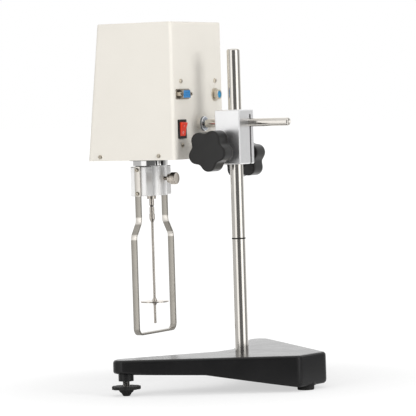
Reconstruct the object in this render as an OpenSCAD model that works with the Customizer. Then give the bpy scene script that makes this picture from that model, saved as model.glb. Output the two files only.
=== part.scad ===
// Rotational viscometer on a three-point stand.
// Millimetres, +Z up. The origin lies on the floor at the middle of the footprint.
// The head points along -Y; its rear panel and the rod's free end face +Y.

/* [Stand] */
// Column diameter
column_d = 16; // [14:0.5:18]
// Height of the column's rounded top above the floor
column_top = 406; // [380:1:460]
// Height of the base's top face above the floor
base_top = 43; // [40:1:50]
// Swivel of the base about the column, seen from the head
base_turn = -7.5; // [-15:0.5:15]
// Distance from the base's centre line to each levelling screw
tip_out = 135; // [120:1:150]
// Distance from the column to the levelling screws, forwards
tip_fore = 71.5; // [65:0.5:85]
// Radius of the base's front tips
tip_r = 15; // [13:0.5:18]
// Half width of the base at its rear end
rear_half = 33; // [28:1:40]
// Distance from the column to the base's rear edge
rear_back = 104; // [90:1:115]
// Depth of the notch's straight part in front of the column
notch_fore = 28; // [24:1:34]
// Height of the underside at the front tips
wing_under = 26.7; // [24:0.1:30]
// Height of the underside at its bend
bend_under = 23.2; // [21:0.1:25]
// Height of the underside at the rear edge
rear_under = 5; // [4:0.1:8]
// Diameter of the levelling screws
foot_screw_d = 8; // [6:0.5:9]
// Diameter of the levelling wheels
wheel_d = 34; // [28:1:40]
// Diameter of the rear rubber foot
rear_foot_d = 20; // [16:1:22]
// Height of the rubber stop ring on the column
ring_z = 178.6; // [150:1:200]

/* [Clamp] */
// Height of the clamp block's lower face
block_low = 267.5; // [250:0.5:280]
// Height of the block
block_h = 65.5; // [60:0.5:80]
// Width of the block across the rod
block_w = 36; // [35:0.5:44]
// Depth of the block along the rod
block_d = 34; // [33:0.5:40]
// Wall between the column's bore and the block's near side
block_wall = 4; // [3:0.5:6]
// Diameter of the support rod
rod_d = 10; // [8:0.5:10]
// Distance of the rod's axis below the block's top
rod_drop = 16; // [14:0.5:20]
// Distance between the column's and the rod's axes
rod_side = 15; // [14.5:0.5:16]
// Length of rod past the rear panel
rod_reach = 124; // [100:1:150]
// Width of the clamping slits
slit_w = 3.5; // [2:0.1:4]
// Diameter of the lobed knobs over their lobes
knob_d = 51; // [40:1:54]
// Depth of the knobs' grips
knob_t = 22; // [16:1:24]
// Diameter of the knobs' threaded studs
stud_d = 6; // [5:0.5:6]

/* [Head] */
// Width of the head
head_w = 123; // [118:1:140]
// Depth of the head at its bottom
head_d = 122; // [118:1:140]
// How far the front face leans back over its height
head_lean = 18; // [0:1:24]
// Height of the head
head_h = 165.5; // [160:0.5:185]
// Gap between the block and the head's rear panel
head_gap = 36.5; // [32:0.5:50]
// Wall of the head's cover
wall = 2; // [1.5:0.1:3]
// Radius of the cover's upright edges
edge_r = 4; // [3:0.5:8]
// Distance from the rear panel to the spindle's axis
spindle_in = 70; // [68:0.5:76]
// Width of the display's window
window_w = 76; // [60:1:90]
// Height of the display's window
window_h = 30; // [24:1:36]
// Width of the keypad
key_w = 80; // [60:1:96]
// Height of the keypad
key_h = 62; // [50:1:70]
// Width between the rear panel's four screws
rear_screw_w = 84; // [80:1:90]
// Height between the rear panel's four screws
rear_screw_h = 77; // [70:1:80]

/* [Drive] */
// Gear module
gear_m = 1; // [0.8:0.1:1]
// Teeth on the drive gear
gear_teeth = 45; // [36:1:50]
// Teeth on the motor's pinion
pinion_teeth = 15; // [13:1:16]
// Diameter of the pivot shaft
pivot_d = 4.8; // [4:0.1:5]
// Side of the square stepping motor
motor_w = 35; // [30:1:36]
// Radius of the slotted discs
disc_r = 17; // [14:0.5:17]
// Slots in each slotted disc
disc_slots = 30; // [12:1:36]
// Height of the gear plate above the head's lower edge
plate_up = 75; // [72:0.5:85]
// Half the width between the pillars
post_x = 30; // [28:0.5:34]
// Height of the motor
motor_h = 30; // [24:1:32]

/* [Neck and guard] */
// Diameter of the neck's polished flange
neck_d = 44; // [40:1:48]
// Height of the neck's flange
neck_h = 6.5; // [5:0.5:10]
// Diameter of the spigot that carries the guard holder
spigot_d = 28; // [24:1:30]
// Outer diameter of the guard holder's sleeve
holder_d = 38.5; // [36:0.5:42]
// Height of the guard holder
holder_h = 36; // [32:0.5:40]
// Length of the guard holder's bar
holder_w = 61; // [56:1:66]
// Width of the guard holder's bar
bar_t = 22; // [16:1:24]
// Width between the middles of the guard's lower legs
guard_w = 89; // [76:1:94]
// Height of the guard's underside above the floor
guard_low = 61.5; // [58:0.5:70]
// Width of the guard's strip
strip_w = 8; // [6:0.5:10]
// Thickness of the guard's strip
strip_t = 2.5; // [1.5:0.1:3]

/* [Spindle] */
// Diameter of the measuring disc
spindle_disc_d = 34.7; // [20:0.1:50]
// Thickness of the measuring disc
spindle_disc_t = 1.6; // [1:0.1:3]
// Height of the measuring disc above the floor
spindle_disc_z = 100; // [90:0.5:110]
// Diameter of the spindle's shaft
spindle_d = 3.2; // [2:0.1:4]
// Length of the shaft below the disc
spindle_tail = 26; // [10:0.5:30]

/* [Hidden] */
$fn = 64;
fit = 0.05;         // radial clearance of running and sliding fits
gap = 0.3;          // clearance between pieces that must not touch
eps = 0.01;         // overlap of cutting tools past a face
column_r = column_d / 2;
rod_r = rod_d / 2;
// Base
base_seat = 15;     // depth of the column's seat in the base
bolt_r = 4;         // column bolt
washer_r = 12;
rear_corner_r = 10;
notch_r = 6;
notch_half = 17;
bend_back = 13.5;   // where the underside bends, behind the column
boss_drop = 9;      // levelling boss below the wing
wheel_low = 8;
wheel_t = 3.5;
rear_foot_back = rear_back - 12;
rear_foot_seat = rear_under + 0.5;
// Place of the column, with the origin in the middle of the whole plan
rear_corner = [rear_half - rear_corner_r, rear_back - rear_corner_r];
stand_behind = rear_corner[0] * abs(sin(base_turn)) + rear_corner[1] * cos(base_turn) + rear_corner_r;
head_ahead = block_d - column_r - block_wall + head_gap + head_d;
column_x = -tip_fore * sin(base_turn);
column_y = (head_ahead - stand_behind) / 2;
// Clamp block, in plan
block_x1 = column_x + column_r + block_wall;
block_x0 = block_x1 - block_w;
block_y1 = column_y + column_r + block_wall;
block_y0 = block_y1 - block_d;
block_top = block_low + block_h;
rod_x = column_x - rod_side;
rod_z = block_top - rod_drop;
stud_r = stud_d / 2;
stud_y = block_y0 + 2.5 + stud_r;
rod_stud_y = stud_y + 2.2;
slit_top = rod_z + rod_r + 5.3;
// Each stud ends in the wall between the two slits
column_stud_end = rod_x + slit_w / 2 + 4.8;
rod_stud_end = rod_x + slit_w / 2 + 4.5;
stud_in_knob = 14;
column_phase = -12;
rod_phase = 24;
column_knob_z = block_low + 18;
rod_knob_z = block_low + 6.5;
hub_t = 10;
hub_r = 11;
// Head
rear_y = block_y0 - head_gap;
front_y = rear_y - head_d;
head_low = rod_z - 42;
head_top = head_low + head_h;
head_half = head_w / 2;
head_x = rod_x;
axis_y = rear_y - spindle_in;
lean = atan(head_lean / head_h);
inner_rear = rear_y - wall;
plate_t = 2.5;
floor_low = head_low + 0.5;
tray_t = 2;
tray_h = 11;
floor_side = 0.2;
tray_front = front_y + (floor_low + tray_h - head_low) * head_lean / head_h + wall / cos(lean) + floor_side;
boss_r = 26;
boss_t = 2;
chassis_y = inner_rear - plate_t;
chassis_half = rear_screw_w / 2 + 6;
chassis_low = floor_low + tray_t;
chassis_top = chassis_low + plate_t;
side_screw_z = head_low + 5;
side_screw_y = [front_y + 18, rear_y - 22];
rear_screw_z = rod_z - 25;
bush_flange_r = 9;
bush_neck_r = 6.5;
bush_out = 9;
nut_t = 6;
nut_y = chassis_y - 0.2;
face_h = head_h / cos(lean);
// Window, keypad and level on the front and the top
window_z = face_h - 38;
module_rim = [8, 7];
module_t = 9;
key_z = window_z - window_h / 2 - key_h / 2 - 22;
level_r = 11;
level_depth = 9;
level_y = front_y + head_lean + level_r + 13;
// Sockets and switch, measured from the head's middle and the rod's axis
dsub_flange = [31, 12.5];
dsub_body = [17, 9];
dsub_out = 6.5;
jack_side = 12.5;
jack_r = 1.6;
socket_r = 6;
socket_out = 7;
switch_open = [13.4, 17.4];
switch_bezel = [18, 23];
switch_depth = 16;
switch_wall = 0.6;
rocker_pivot = 1;
rocker_w = switch_open[0] - 1;
dsub_x = head_x + 39;
dsub_z = rod_z + 36.5;
socket_x = head_x - 41;
socket_z = rod_z + 35;
switch_x = head_x + 43;
switch_z = rod_z - 5.5;
// Drive train
gear_r = gear_m * gear_teeth / 2;
pinion_r = gear_m * pinion_teeth / 2;
backlash = 0.12;
pressure_angle = 20;
flank_play = 0.06;  // share taken off each tooth's thickness
motor_y = axis_y + gear_r + pinion_r + backlash;
plate_z = head_low + plate_up;
plate_h = 5;
gear_z = plate_z + plate_h + 3;
gear_t = 6;
pilot_r = 11;
pivot_r = pivot_d / 2;
drive_r = 5;
bearing_r = 11;
drive_disc_z = plate_z - motor_h - 4;
pivot_disc_z = drive_disc_z - 10;
disc_t = 1;
spring_z = pivot_disc_z + 4.5;
spring_r = 8.7;
spring_t = 0.3;
spring_pin_r = 0.6;
spring_pin_y = -(spring_r + spring_t + gap + spring_pin_r);
sensor_in = -spring_pin_y + spring_pin_r + gap + 0.4;
sensor_out = disc_r + 10;
post_r = 4;
post_y = [axis_y - 21.5, rear_y - 14 - post_r];
plate_rim = 2;
board_z = gear_z + gear_t + 12;
board_t = 1.6;
board_front = front_y + (board_z - head_low) * head_lean / head_h + (wall + module_t) / cos(lean) + 4;
standoff_r = 3;
standoff_y = [board_front + standoff_r + 1.5, post_y[1]];
// Neck, guard and spindle
spigot_r = spigot_d / 2;
flange_top = floor_low - boss_t;
neck_low = flange_top - neck_h;
holder_top = neck_low - gap;
holder_low = holder_top - holder_h;
shaft_room_r = 9;
jewel_r = 6;
jewel_t = 5;
thumb_z = holder_low + 0.57 * holder_h;
guard_screw_z = [holder_top - 4, holder_low + 3.2];
leg_top = holder_w / 2 + strip_t / 2;
leg_low = guard_w / 2;
jog_top = holder_low - 30;
jog_low = jog_top - 20;
bend_r = 8;
collar_r = 5.7;
collar_h = 4;

function arc(cx, cy, r, a0, a1, n) =
  [for (i = [0:n]) [cx + r * cos(a0 + (a1 - a0) * i / n), cy + r * sin(a0 + (a1 - a0) * i / n)]];

// Box with all its edges bevelled
module bevelled_box(size, bevel) {
  intersection() {
    linear_extrude(size[2]) bevelled_square(size[0], size[1], bevel);
    translate([0, size[1], 0]) rotate([90, 0, 0])
      linear_extrude(size[1]) bevelled_square(size[0], size[2], bevel);
    rotate([90, 0, 90]) linear_extrude(size[0]) bevelled_square(size[1], size[2], bevel);
  }
}

module bevelled_square(w, h, c) {
  polygon([[c, 0], [w - c, 0], [w, c], [w, h - c], [w - c, h], [c, h], [0, h - c], [0, c]]);
}

// Rectangle in plan with rounded corners, as true arcs
module rounded_rect(w, h, r) {
  translate([r, 0]) square([w - 2 * r, h]);
  translate([0, r]) square([w, h - 2 * r]);
  for (x = [r, w - r], y = [r, h - r]) translate([x, y]) circle(r);
}

// Cross-recessed pan-head screw along +Z, its head's underside at z = 0
module pan_screw(d, l, head_d, head_h) {
  difference() {
    union() {
      translate([0, 0, -l]) cylinder(d = d, h = l + eps);
      cylinder(d = head_d, h = head_h * 0.55);
      translate([0, 0, head_h * 0.55 - eps]) cylinder(d1 = head_d, d2 = head_d * 0.6, h = head_h * 0.45);
    }
    for (a = [0, 90]) rotate(a)
      translate([-head_d * 0.32, -head_d * 0.07, head_h * 0.45])
        cube([head_d * 0.64, head_d * 0.14, head_h]);
  }
}

// ---- Stand ----

module at_column(z) {
  translate([column_x, column_y, z]) children();
}

// Upright post with a rounded rim at both ends, for hulls only
module rim_post(x, y, r, z0, z1, rim0, rim1) {
  profile = concat([[0, z0]],
    [for (i = [0:3]) let (a = -90 + 30 * i) [r - rim0 + rim0 * cos(a), z0 + rim0 + rim0 * sin(a)]],
    [for (i = [0:3]) let (a = 30 * i) [r - rim1 + rim1 * cos(a), z1 - rim1 + rim1 * sin(a)]],
    [[0, z1]]);
  translate([x, y, 0]) rotate_extrude($fn = 32) polygon(profile);
}

module base_wing(side) {
  hull() {
    rim_post(side * (rear_half - rear_corner_r), rear_back - rear_corner_r, rear_corner_r,
      rear_under, base_top, 5, 4);
    rim_post(side * tip_out, -tip_fore, tip_r, wing_under, base_top, 3, 4);
    rim_post(side * notch_half, -notch_fore + notch_r, notch_r, bend_under, base_top, 3, 4);
  }
}

module base_middle() {
  hull() {
    for (side = [-1, 1]) {
      rim_post(side * (rear_half - rear_corner_r), rear_back - rear_corner_r, rear_corner_r,
        rear_under, base_top, 5, 4);
      rim_post(side * notch_half, -notch_fore + notch_r, notch_r, bend_under, base_top, 3, 4);
    }
  }
}

// Everything below the base's bent underside
module under_cutter() {
  far = 2 * tip_out;
  slope_end = rear_under - (bend_under - rear_under) / (rear_back - bend_back) * 20;
  rotate([90, 0, 90]) translate([0, 0, -far])
    linear_extrude(2 * far)
      polygon([[-far, wing_under], [-tip_fore - tip_r, wing_under], [bend_back, bend_under],
        [rear_back + 20, slope_end], [rear_back + 20, -20], [-far, -20]]);
}

module base_casting() {
  color("#1d1d1e") at_column(0) rotate(base_turn) difference() {
    union() {
      difference() {
        union() {
          base_wing(1);
          base_wing(-1);
          base_middle();
        }
        under_cutter();
      }
      for (side = [-1, 1]) translate([side * tip_out, -tip_fore, wing_under - boss_drop])
        cylinder(r = foot_screw_d / 2 + 5, h = boss_drop + 5);
      translate([0, rear_foot_back, rear_foot_seat])
        cylinder(d = rear_foot_d + 4, h = 10);
      translate([0, 0, bend_under]) cylinder(r = washer_r + 2, h = 5);
    }
    translate([0, 0, base_top - base_seat]) cylinder(r = column_r + fit, h = base_seat + eps);
    cylinder(r = bolt_r + gap, h = base_top);
    for (side = [-1, 1]) translate([side * tip_out, -tip_fore, 0])
      cylinder(r = foot_screw_d / 2 + fit, h = base_top - 5);
    translate([0, rear_foot_back, 0]) cylinder(r = 2.5, h = rear_foot_seat + 8);
  }
}

module rear_foot() {
  color("#141414") at_column(0) rotate(base_turn) translate([0, rear_foot_back, 0]) {
    cylinder(d1 = rear_foot_d - 1, d2 = rear_foot_d, h = 1);
    translate([0, 0, 1 - eps]) cylinder(d = rear_foot_d, h = rear_foot_seat - 1 + eps);
    translate([0, 0, rear_foot_seat - eps]) cylinder(r = 2.5, h = 7);
  }
}

module at_foot(side) {
  at_column(0) rotate(base_turn) translate([side * tip_out, -tip_fore, 0]) children();
}

module foot_stud() {
  color("#b9b5ac") translate([0, 0, wheel_low]) cylinder(d = foot_screw_d, h = base_top - 8 - wheel_low);
}

module foot_wheel() {
  foot_r = 9;
  color("#161617") difference() {
    union() {
      rotate_extrude() polygon(concat([[0, 0], [4, 0]],
        arc(foot_r - 5, wheel_low, 5, -65, 0, 6), [[foot_r, wheel_low], [0, wheel_low]]));
      translate([0, 0, wheel_low]) linear_extrude(wheel_t) difference() {
        circle(d = wheel_d);
        for (i = [0:11]) rotate(i * 30) translate([wheel_d / 2 + 1, 0]) circle(2.4, $fn = 24);
      }
    }
    translate([0, 0, wheel_low]) cylinder(d = foot_screw_d, h = wheel_t + eps);
  }
}

module foot_stud_near() { at_foot(1) foot_stud(); }
module foot_stud_far() { at_foot(-1) foot_stud(); }
module foot_wheel_near() { at_foot(1) foot_wheel(); }
module foot_wheel_far() { at_foot(-1) foot_wheel(); }

module column() {
  low = base_top - base_seat;
  dome = 3;
  color("#c9c6c0") at_column(0) difference() {
    union() {
      translate([0, 0, low]) cylinder(r = column_r, h = column_top - low - dome);
      translate([0, 0, column_top - dome]) rotate_extrude() intersection() {
        polygon(concat([[0, 0]], arc(column_r - dome, 0, dome, 0, 90, 8), [[0, dome]]));
        square([column_r, dome]);
      }
    }
    translate([0, 0, low - eps]) cylinder(r = bolt_r, h = 16);
    translate([0, 0, ring_z]) rotate_extrude() translate([column_r - 0.7, 0]) circle(1.1);
  }
}

module column_ring() {
  color("#1a1817") at_column(ring_z) rotate_extrude()
    translate([column_r - 0.7, 0]) circle(1.1);
}

module column_bolt() {
  head_top = bend_under - 2;
  color("#8b8b8b") at_column(0) difference() {
    union() {
      translate([0, 0, head_top - 0.2]) cylinder(r = bolt_r, h = base_top - base_seat + 14 - head_top);
      translate([0, 0, head_top - 8]) cylinder(r = 6.5, h = 8 - eps);
    }
    translate([0, 0, head_top - 8 - eps]) cylinder(r = 3.4, h = 4, $fn = 6);
  }
}

module column_washer() {
  color("#9a9a9a") at_column(bend_under - 2) difference() {
    cylinder(r = washer_r, h = 2);
    translate([0, 0, -eps]) cylinder(r = bolt_r + eps, h = 3);
  }
}

// ---- Clamp ----

module clamp_block() {
  color("#c8c8c9") difference() {
    translate([block_x0, block_y0, block_low]) bevelled_box([block_w, block_d, block_h], 1.3);
    at_column(block_low - eps) cylinder(r = column_r + fit, h = block_h + 2 * eps);
    translate([column_x - slit_w / 2, block_y0 - eps, block_low - eps])
      cube([slit_w, column_y - block_y0, block_h + 2 * eps]);
    translate([rod_x, block_y0 - eps, rod_z]) rotate([-90, 0, 0])
      cylinder(r = rod_r + fit, h = block_d + 2 * eps);
    translate([rod_x - slit_w / 2, block_y0 - eps, block_low - eps])
      cube([slit_w, block_d + 2 * eps, slit_top - slit_w / 2 - block_low]);
    translate([rod_x, block_y0 - eps, slit_top - slit_w / 2]) rotate([-90, 0, 0])
      cylinder(d = slit_w, h = block_d + 2 * eps);
    translate([column_stud_end - 1, stud_y, column_knob_z]) rotate([0, 90, 0])
      cylinder(r = stud_r + fit, h = block_x1 - column_stud_end + 2);
    translate([block_x0 - 1, rod_stud_y, rod_knob_z]) rotate([0, 90, 0])
      cylinder(r = stud_r + fit, h = rod_stud_end - block_x0 + 2);
  }
}

// Outline of the five-lobed grip
function lobes(r) = [for (a = [0:4:356]) let (s = r * (0.89 + 0.11 * cos(5 * a))) [s * cos(a), s * sin(a)]];

// Lobed knob along +Z with its hub's face at z = 0
module lobed_knob() {
  r = knob_d / 2;
  rim = 4;
  rim_sweep = 78;
  difference() {
    union() {
      cylinder(r = hub_r, h = hub_t + 1);
      intersection() {
        translate([0, 0, hub_t]) linear_extrude(knob_t + 2) polygon(lobes(r));
        translate([0, 0, hub_t]) rotate_extrude() polygon(concat([[0, 0], [r - 1.5, 0], [r, 1.5]],
          arc(r - rim, knob_t - rim, rim, 0, rim_sweep, 7), [[0, knob_t + 0.8]]));
      }
    }
    translate([0, 0, -eps]) cylinder(r = stud_r, h = stud_in_knob + eps);
  }
}

module column_knob() {
  color("#232324") translate([block_x1 + gap, stud_y, column_knob_z])
    rotate([0, 90, 0]) rotate(column_phase + 90) lobed_knob();
}

module rod_knob() {
  color("#232324") translate([block_x0 - gap, rod_stud_y, rod_knob_z])
    rotate([0, -90, 0]) rotate(90 - rod_phase) lobed_knob();
}

module column_knob_stud() {
  end = block_x1 + gap + stud_in_knob;
  color("#b3afa6") translate([column_stud_end, stud_y, column_knob_z]) rotate([0, 90, 0])
    cylinder(r = stud_r, h = end - column_stud_end);
}

module rod_knob_stud() {
  start = block_x0 - gap - stud_in_knob;
  color("#b3afa6") translate([start, rod_stud_y, rod_knob_z]) rotate([0, 90, 0])
    cylinder(r = stud_r, h = rod_stud_end - start);
}

// ---- Rod ----

module along_rod() {
  translate([rod_x, 0, rod_z]) rotate([-90, 0, 0]) children();
}

module support_rod() {
  end = rear_y + rod_reach;
  start = nut_y - nut_t - 2;
  dome = 2.5;
  color("#c9c6c0") along_rod() {
    translate([0, 0, start]) cylinder(r = rod_r, h = end - dome - start);
    translate([0, 0, end - dome]) rotate_extrude()
      polygon(concat([[0, 0]], arc(rod_r - dome, 0, dome, 0, 90, 8)));
  }
}

module rod_lock_nut() {
  color("#a8a49c") along_rod() translate([0, 0, nut_y - nut_t]) difference() {
    cylinder(r = 9, h = nut_t, $fn = 6);
    translate([0, 0, -eps]) cylinder(r = rod_r, h = nut_t + 2 * eps);
  }
}

// Flanged bush that carries the head on the rod
module rod_bush() {
  flange_t = 3;
  color("#d4d4d6") along_rod() translate([0, 0, chassis_y]) rotate_extrude()
    polygon([[rod_r + fit, 0], [bush_neck_r, 0], [bush_neck_r, rear_y - chassis_y + bush_out - flange_t],
      [bush_flange_r - 0.6, rear_y - chassis_y + bush_out - flange_t],
      [bush_flange_r, rear_y - chassis_y + bush_out - flange_t + 0.6],
      [bush_flange_r, rear_y - chassis_y + bush_out - 0.6],
      [bush_flange_r - 0.6, rear_y - chassis_y + bush_out], [rod_r + fit, rear_y - chassis_y + bush_out]]);
}

// ---- Head ----

// Side outline of the cover, inset by i on all faces
function cover_outline(i) = let (
    top = head_top - i,
    front_top_r = 4 - i / 2,
    rear_top_r = 2.2 - i / 2,
    cz = top - front_top_r,
    cy = front_y + (cz - head_low) * head_lean / head_h + (front_top_r + i) / cos(lean),
    low = head_low - (i > 0 ? 10 : 0),
    low_y = front_y + (low - head_low) * head_lean / head_h + i / cos(lean))
  concat([[rear_y - i, low]],
    arc(rear_y - i - rear_top_r, top - rear_top_r, rear_top_r, 0, 90, 5),
    arc(cy, cz, front_top_r, 90, 180 - lean, 6),
    [[low_y, low]]);

// Solid form of the cover, inset by i on all faces
module cover_form(i) {
  w = head_w - 2 * i;
  reach = 40;
  intersection() {
    translate([head_x - w / 2, 0, 0]) rotate([90, 0, 90]) linear_extrude(w) polygon(cover_outline(i));
    translate([head_x - w / 2, front_y - reach, head_low - reach]) linear_extrude(head_h + 2 * reach)
      rounded_rect(w, head_d + reach - i, edge_r - i / 2);
    at_front() translate([-w / 2, i, -reach]) linear_extrude(head_h + 2 * reach)
      rounded_rect(w, head_d + 2 * reach, edge_r - i / 2);
  }
}

// Frame on the leaning front: +Z runs up the face and +Y goes inwards
module at_front() {
  translate([head_x, front_y, head_low]) rotate([-lean, 0, 0]) children();
}

module at_rear(x, z) {
  translate([x, rear_y, z]) rotate([-90, 0, 0]) children();
}

// Through cuts in the rear wall, made deep enough for the chassis as well
module rear_cuts(depth) {
  at_rear(head_x, rod_z) translate([0, 0, -depth]) cylinder(r = bush_neck_r + eps, h = depth + 1);
  at_rear(socket_x, socket_z) translate([0, 0, -depth]) cylinder(r = socket_r - 0.5 + eps, h = depth + 1);
  at_rear(dsub_x, dsub_z) translate([0, 0, -depth]) linear_extrude(depth + 1)
    square([dsub_body[0] + 2 * gap, dsub_body[1] + 2 * gap], center = true);
  for (side = [-1, 1]) at_rear(dsub_x + side * jack_side, dsub_z)
    translate([0, 0, -depth]) cylinder(r = jack_r + eps, h = depth + 1);
  at_rear(switch_x, switch_z) translate([0, 0, -depth]) linear_extrude(depth + 1)
    square([switch_open[0] + 2 * switch_wall, switch_open[1] + 2 * switch_wall], center = true);
  for (side = [-1, 1], up = [0, 1])
    at_rear(head_x + side * rear_screw_w / 2, rear_screw_z + up * rear_screw_h)
      translate([0, 0, -depth]) cylinder(r = 1.5 + eps, h = depth + 1);
}

module side_holes(depth) {
  for (side = [-1, 1], y = side_screw_y)
    translate([head_x + side * head_half, y, side_screw_z]) rotate([0, -90 * side, 0])
      translate([0, 0, -1]) cylinder(r = 1.5 + eps, h = depth + 1);
}

module housing() {
  color("#ebe7de") difference() {
    cover_form(0);
    cover_form(wall);
    rear_cuts(wall + 1);
    side_holes(wall + 1);
    at_front() translate([-window_w / 2, -1, window_z - window_h / 2])
      cube([window_w, wall + 2, window_h]);
    translate([head_x, level_y, head_top - wall - 1]) cylinder(r = level_r + eps, h = wall + 2);
    at_front() translate([-8, -1, key_z - 3]) cube([16, wall + 2, 2]);
  }
}

// Tray that closes the cover from below, with a flange for the side screws
module bottom_plate() {
  w = head_w - 2 * wall - 2 * floor_side;
  d = rear_y - wall - floor_side - tray_front;
  flange_t = 1.5;
  color("#55534f") difference() {
    union() {
      translate([head_x - w / 2, tray_front, floor_low]) difference() {
        linear_extrude(tray_h) rounded_rect(w, d, edge_r - 1);
        translate([flange_t, -1, tray_t]) cube([w - 2 * flange_t, d + 2, tray_h]);
      }
      at_axis(flange_top) cylinder(r = boss_r, h = boss_t + eps);
    }
    at_axis(flange_top - eps) cylinder(r = spigot_r - 1 + eps, h = boss_t + tray_t + 1);
    side_holes(wall + floor_side + 3);
  }
}

module side_screws() {
  color("#cfc7b8") for (side = [-1, 1], y = side_screw_y)
    translate([head_x + side * head_half, y, side_screw_z]) rotate([0, 90 * side, 0])
      pan_screw(3, wall + floor_side + 2, 5, 1.8);
}

module rear_screws() {
  color("#bfb8aa") for (side = [-1, 1], up = [0, 1])
    at_rear(head_x + side * rear_screw_w / 2, rear_screw_z + up * rear_screw_h)
      pan_screw(3, wall + plate_t, 5.5, 2);
}

module chassis() {
  front = post_y[0] - post_r - 4.5;
  high = rear_screw_z + rear_screw_h + 7;
  color("#a9abad") difference() {
    union() {
      translate([head_x - chassis_half, front, chassis_low])
        cube([2 * chassis_half, inner_rear - front, plate_t]);
      translate([head_x - chassis_half, chassis_y, chassis_low])
        cube([2 * chassis_half, plate_t, high - chassis_low]);
    }
    rear_cuts(wall + plate_t + 1);
    translate([head_x, axis_y, chassis_low - eps]) cylinder(r = spigot_r - 1 + eps, h = plate_t + 1);
  }
}

// D-shaped outline of the data socket, w across and h high
module dee(w, h) {
  s = 0.9;
  polygon([[-w / 2, h / 2], [w / 2, h / 2], [w / 2 - s, -h / 2], [-w / 2 + s, -h / 2]]);
}

module dsub_shell() {
  collar = 0.7;
  color("#8f8a80") at_rear(dsub_x, dsub_z) difference() {
    union() {
      linear_extrude(1) difference() {
        translate([-dsub_flange[0] / 2, -dsub_flange[1] / 2]) rounded_rect(dsub_flange[0], dsub_flange[1], 1.5);
        for (side = [-1, 1]) translate([side * jack_side, 0]) circle(jack_r);
      }
      linear_extrude(2.2) dee(dsub_body[0] + 2 * collar, dsub_body[1] + 2 * collar);
    }
    translate([0, 0, -eps]) linear_extrude(3) dee(dsub_body[0], dsub_body[1]);
  }
}

module dsub_insert() {
  color("#2f6fb5") at_rear(dsub_x, dsub_z) difference() {
    translate([0, 0, -8]) linear_extrude(dsub_out + 8) dee(dsub_body[0], dsub_body[1]);
    for (row = [0, 1], i = [0:4 - row])
      translate([(i - 2 + row / 2) * 2.76, 1.4 - 2.8 * row, 1]) cylinder(r = 0.55, h = dsub_out, $fn = 16);
  }
}

module dsub_jackscrews() {
  color("#b4afa4") for (side = [-1, 1]) at_rear(dsub_x + side * jack_side, dsub_z) difference() {
    union() {
      translate([0, 0, 1]) cylinder(r = 2.7, h = 5, $fn = 6);
      translate([0, 0, -6]) cylinder(r = jack_r, h = 7 + eps);
    }
    translate([0, 0, 2]) cylinder(r = 1.4, h = 5);
  }
}

module round_socket() {
  bore = socket_r - 1.5;
  neck = socket_r - 0.5;
  color("#c2bcae") at_rear(socket_x, socket_z) rotate_extrude()
    polygon([[bore, -11], [neck, -11], [neck, 0], [socket_r + 2, 0], [socket_r + 2, 1.5],
      [socket_r, 1.5], [socket_r, socket_out - 0.5], [neck, socket_out], [bore, socket_out]]);
}

module round_insert() {
  color("#3b6ea8") at_rear(socket_x, socket_z) difference() {
    translate([0, 0, -10]) cylinder(r = socket_r - 1.5, h = socket_out + 9);
    for (a = [0:72:288]) rotate(a) translate([2.4, 0, 2]) cylinder(r = 0.6, h = 5, $fn = 16);
  }
}

module switch_body() {
  outer = [switch_open[0] + 2 * switch_wall, switch_open[1] + 2 * switch_wall];
  color("#161616") at_rear(switch_x, switch_z) difference() {
    union() {
      linear_extrude(2) translate([-switch_bezel[0] / 2, -switch_bezel[1] / 2])
        rounded_rect(switch_bezel[0], switch_bezel[1], 1);
      translate([0, 0, -switch_depth]) linear_extrude(switch_depth + eps) square(outer, center = true);
    }
    translate([0, 0, -9]) linear_extrude(12) square(switch_open, center = true);
    translate([-switch_open[0] / 2 - 0.5, 0, rocker_pivot]) rotate([0, 90, 0])
      cylinder(r = 1 + fit, h = switch_open[0] + 1);
  }
}

// Rocker in its off position, with its upper end standing out
module switch_rocker() {
  r = switch_open[1] / 2 - 0.3;
  color("#d8341f") translate([switch_x, rear_y + rocker_pivot, switch_z]) {
    translate([-rocker_w / 2, 0, 0]) rotate([90, 0, 90]) linear_extrude(rocker_w) intersection() {
      circle(r);
      polygon([[-5, -9], [0.8, -9], [2, 0], [5.1, 9], [-5, 9]]);
    }
    translate([-rocker_w / 2 - 0.4, 0, 0]) rotate([0, 90, 0]) cylinder(r = 1, h = rocker_w + 0.8);
  }
}

module display_window() {
  color("#4a5560") at_front() translate([-window_w / 2 + 0.1, 0.2, window_z - window_h / 2 + 0.1])
    cube([window_w - 0.2, wall - 0.2, window_h - 0.2]);
}

module display_module() {
  color("#3d5a45") at_front() difference() {
    translate([-window_w / 2 - module_rim[0], wall, window_z - window_h / 2 - module_rim[1]])
      cube([window_w + 2 * module_rim[0], module_t, window_h + 2 * module_rim[1]]);
    for (side = [-1, 1], up = [-1, 1])
      translate([side * (window_w + module_rim[0]) / 2 + side, wall - eps, window_z + up * (window_h + module_rim[1]) / 2])
        rotate([-90, 0, 0]) cylinder(r = 1.5, h = module_t + 1);
  }
}

module keypad() {
  columns = 4;
  rows = 3;
  color("#39404a") at_front() translate([0, 0, key_z]) rotate([90, 0, 0]) {
    translate([-key_w / 2, -key_h / 2]) linear_extrude(0.8) rounded_rect(key_w, key_h, 3);
    for (i = [0:columns - 1], j = [0:rows - 1])
      translate([(i + 0.5 - columns / 2) * (key_w - 8) / columns, (j + 0.5 - rows / 2) * (key_h - 8) / rows, 0.8 - eps])
        cylinder(r1 = 6.6, r2 = 6, h = 0.4);
  }
}

// ---- Drive ----

module at_axis(z) {
  translate([head_x, axis_y, z]) children();
}

// Involute of an angle, in degrees
function involute(a) = tan(a) * 180 / PI - a;

// Half the angle that a tooth fills at radius r
function tooth_half(r, pitch, teeth) = let (base = pitch * cos(pressure_angle))
  90 / teeth * (1 - flank_play) + involute(pressure_angle) - involute(acos(min(1, base / r)));

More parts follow.
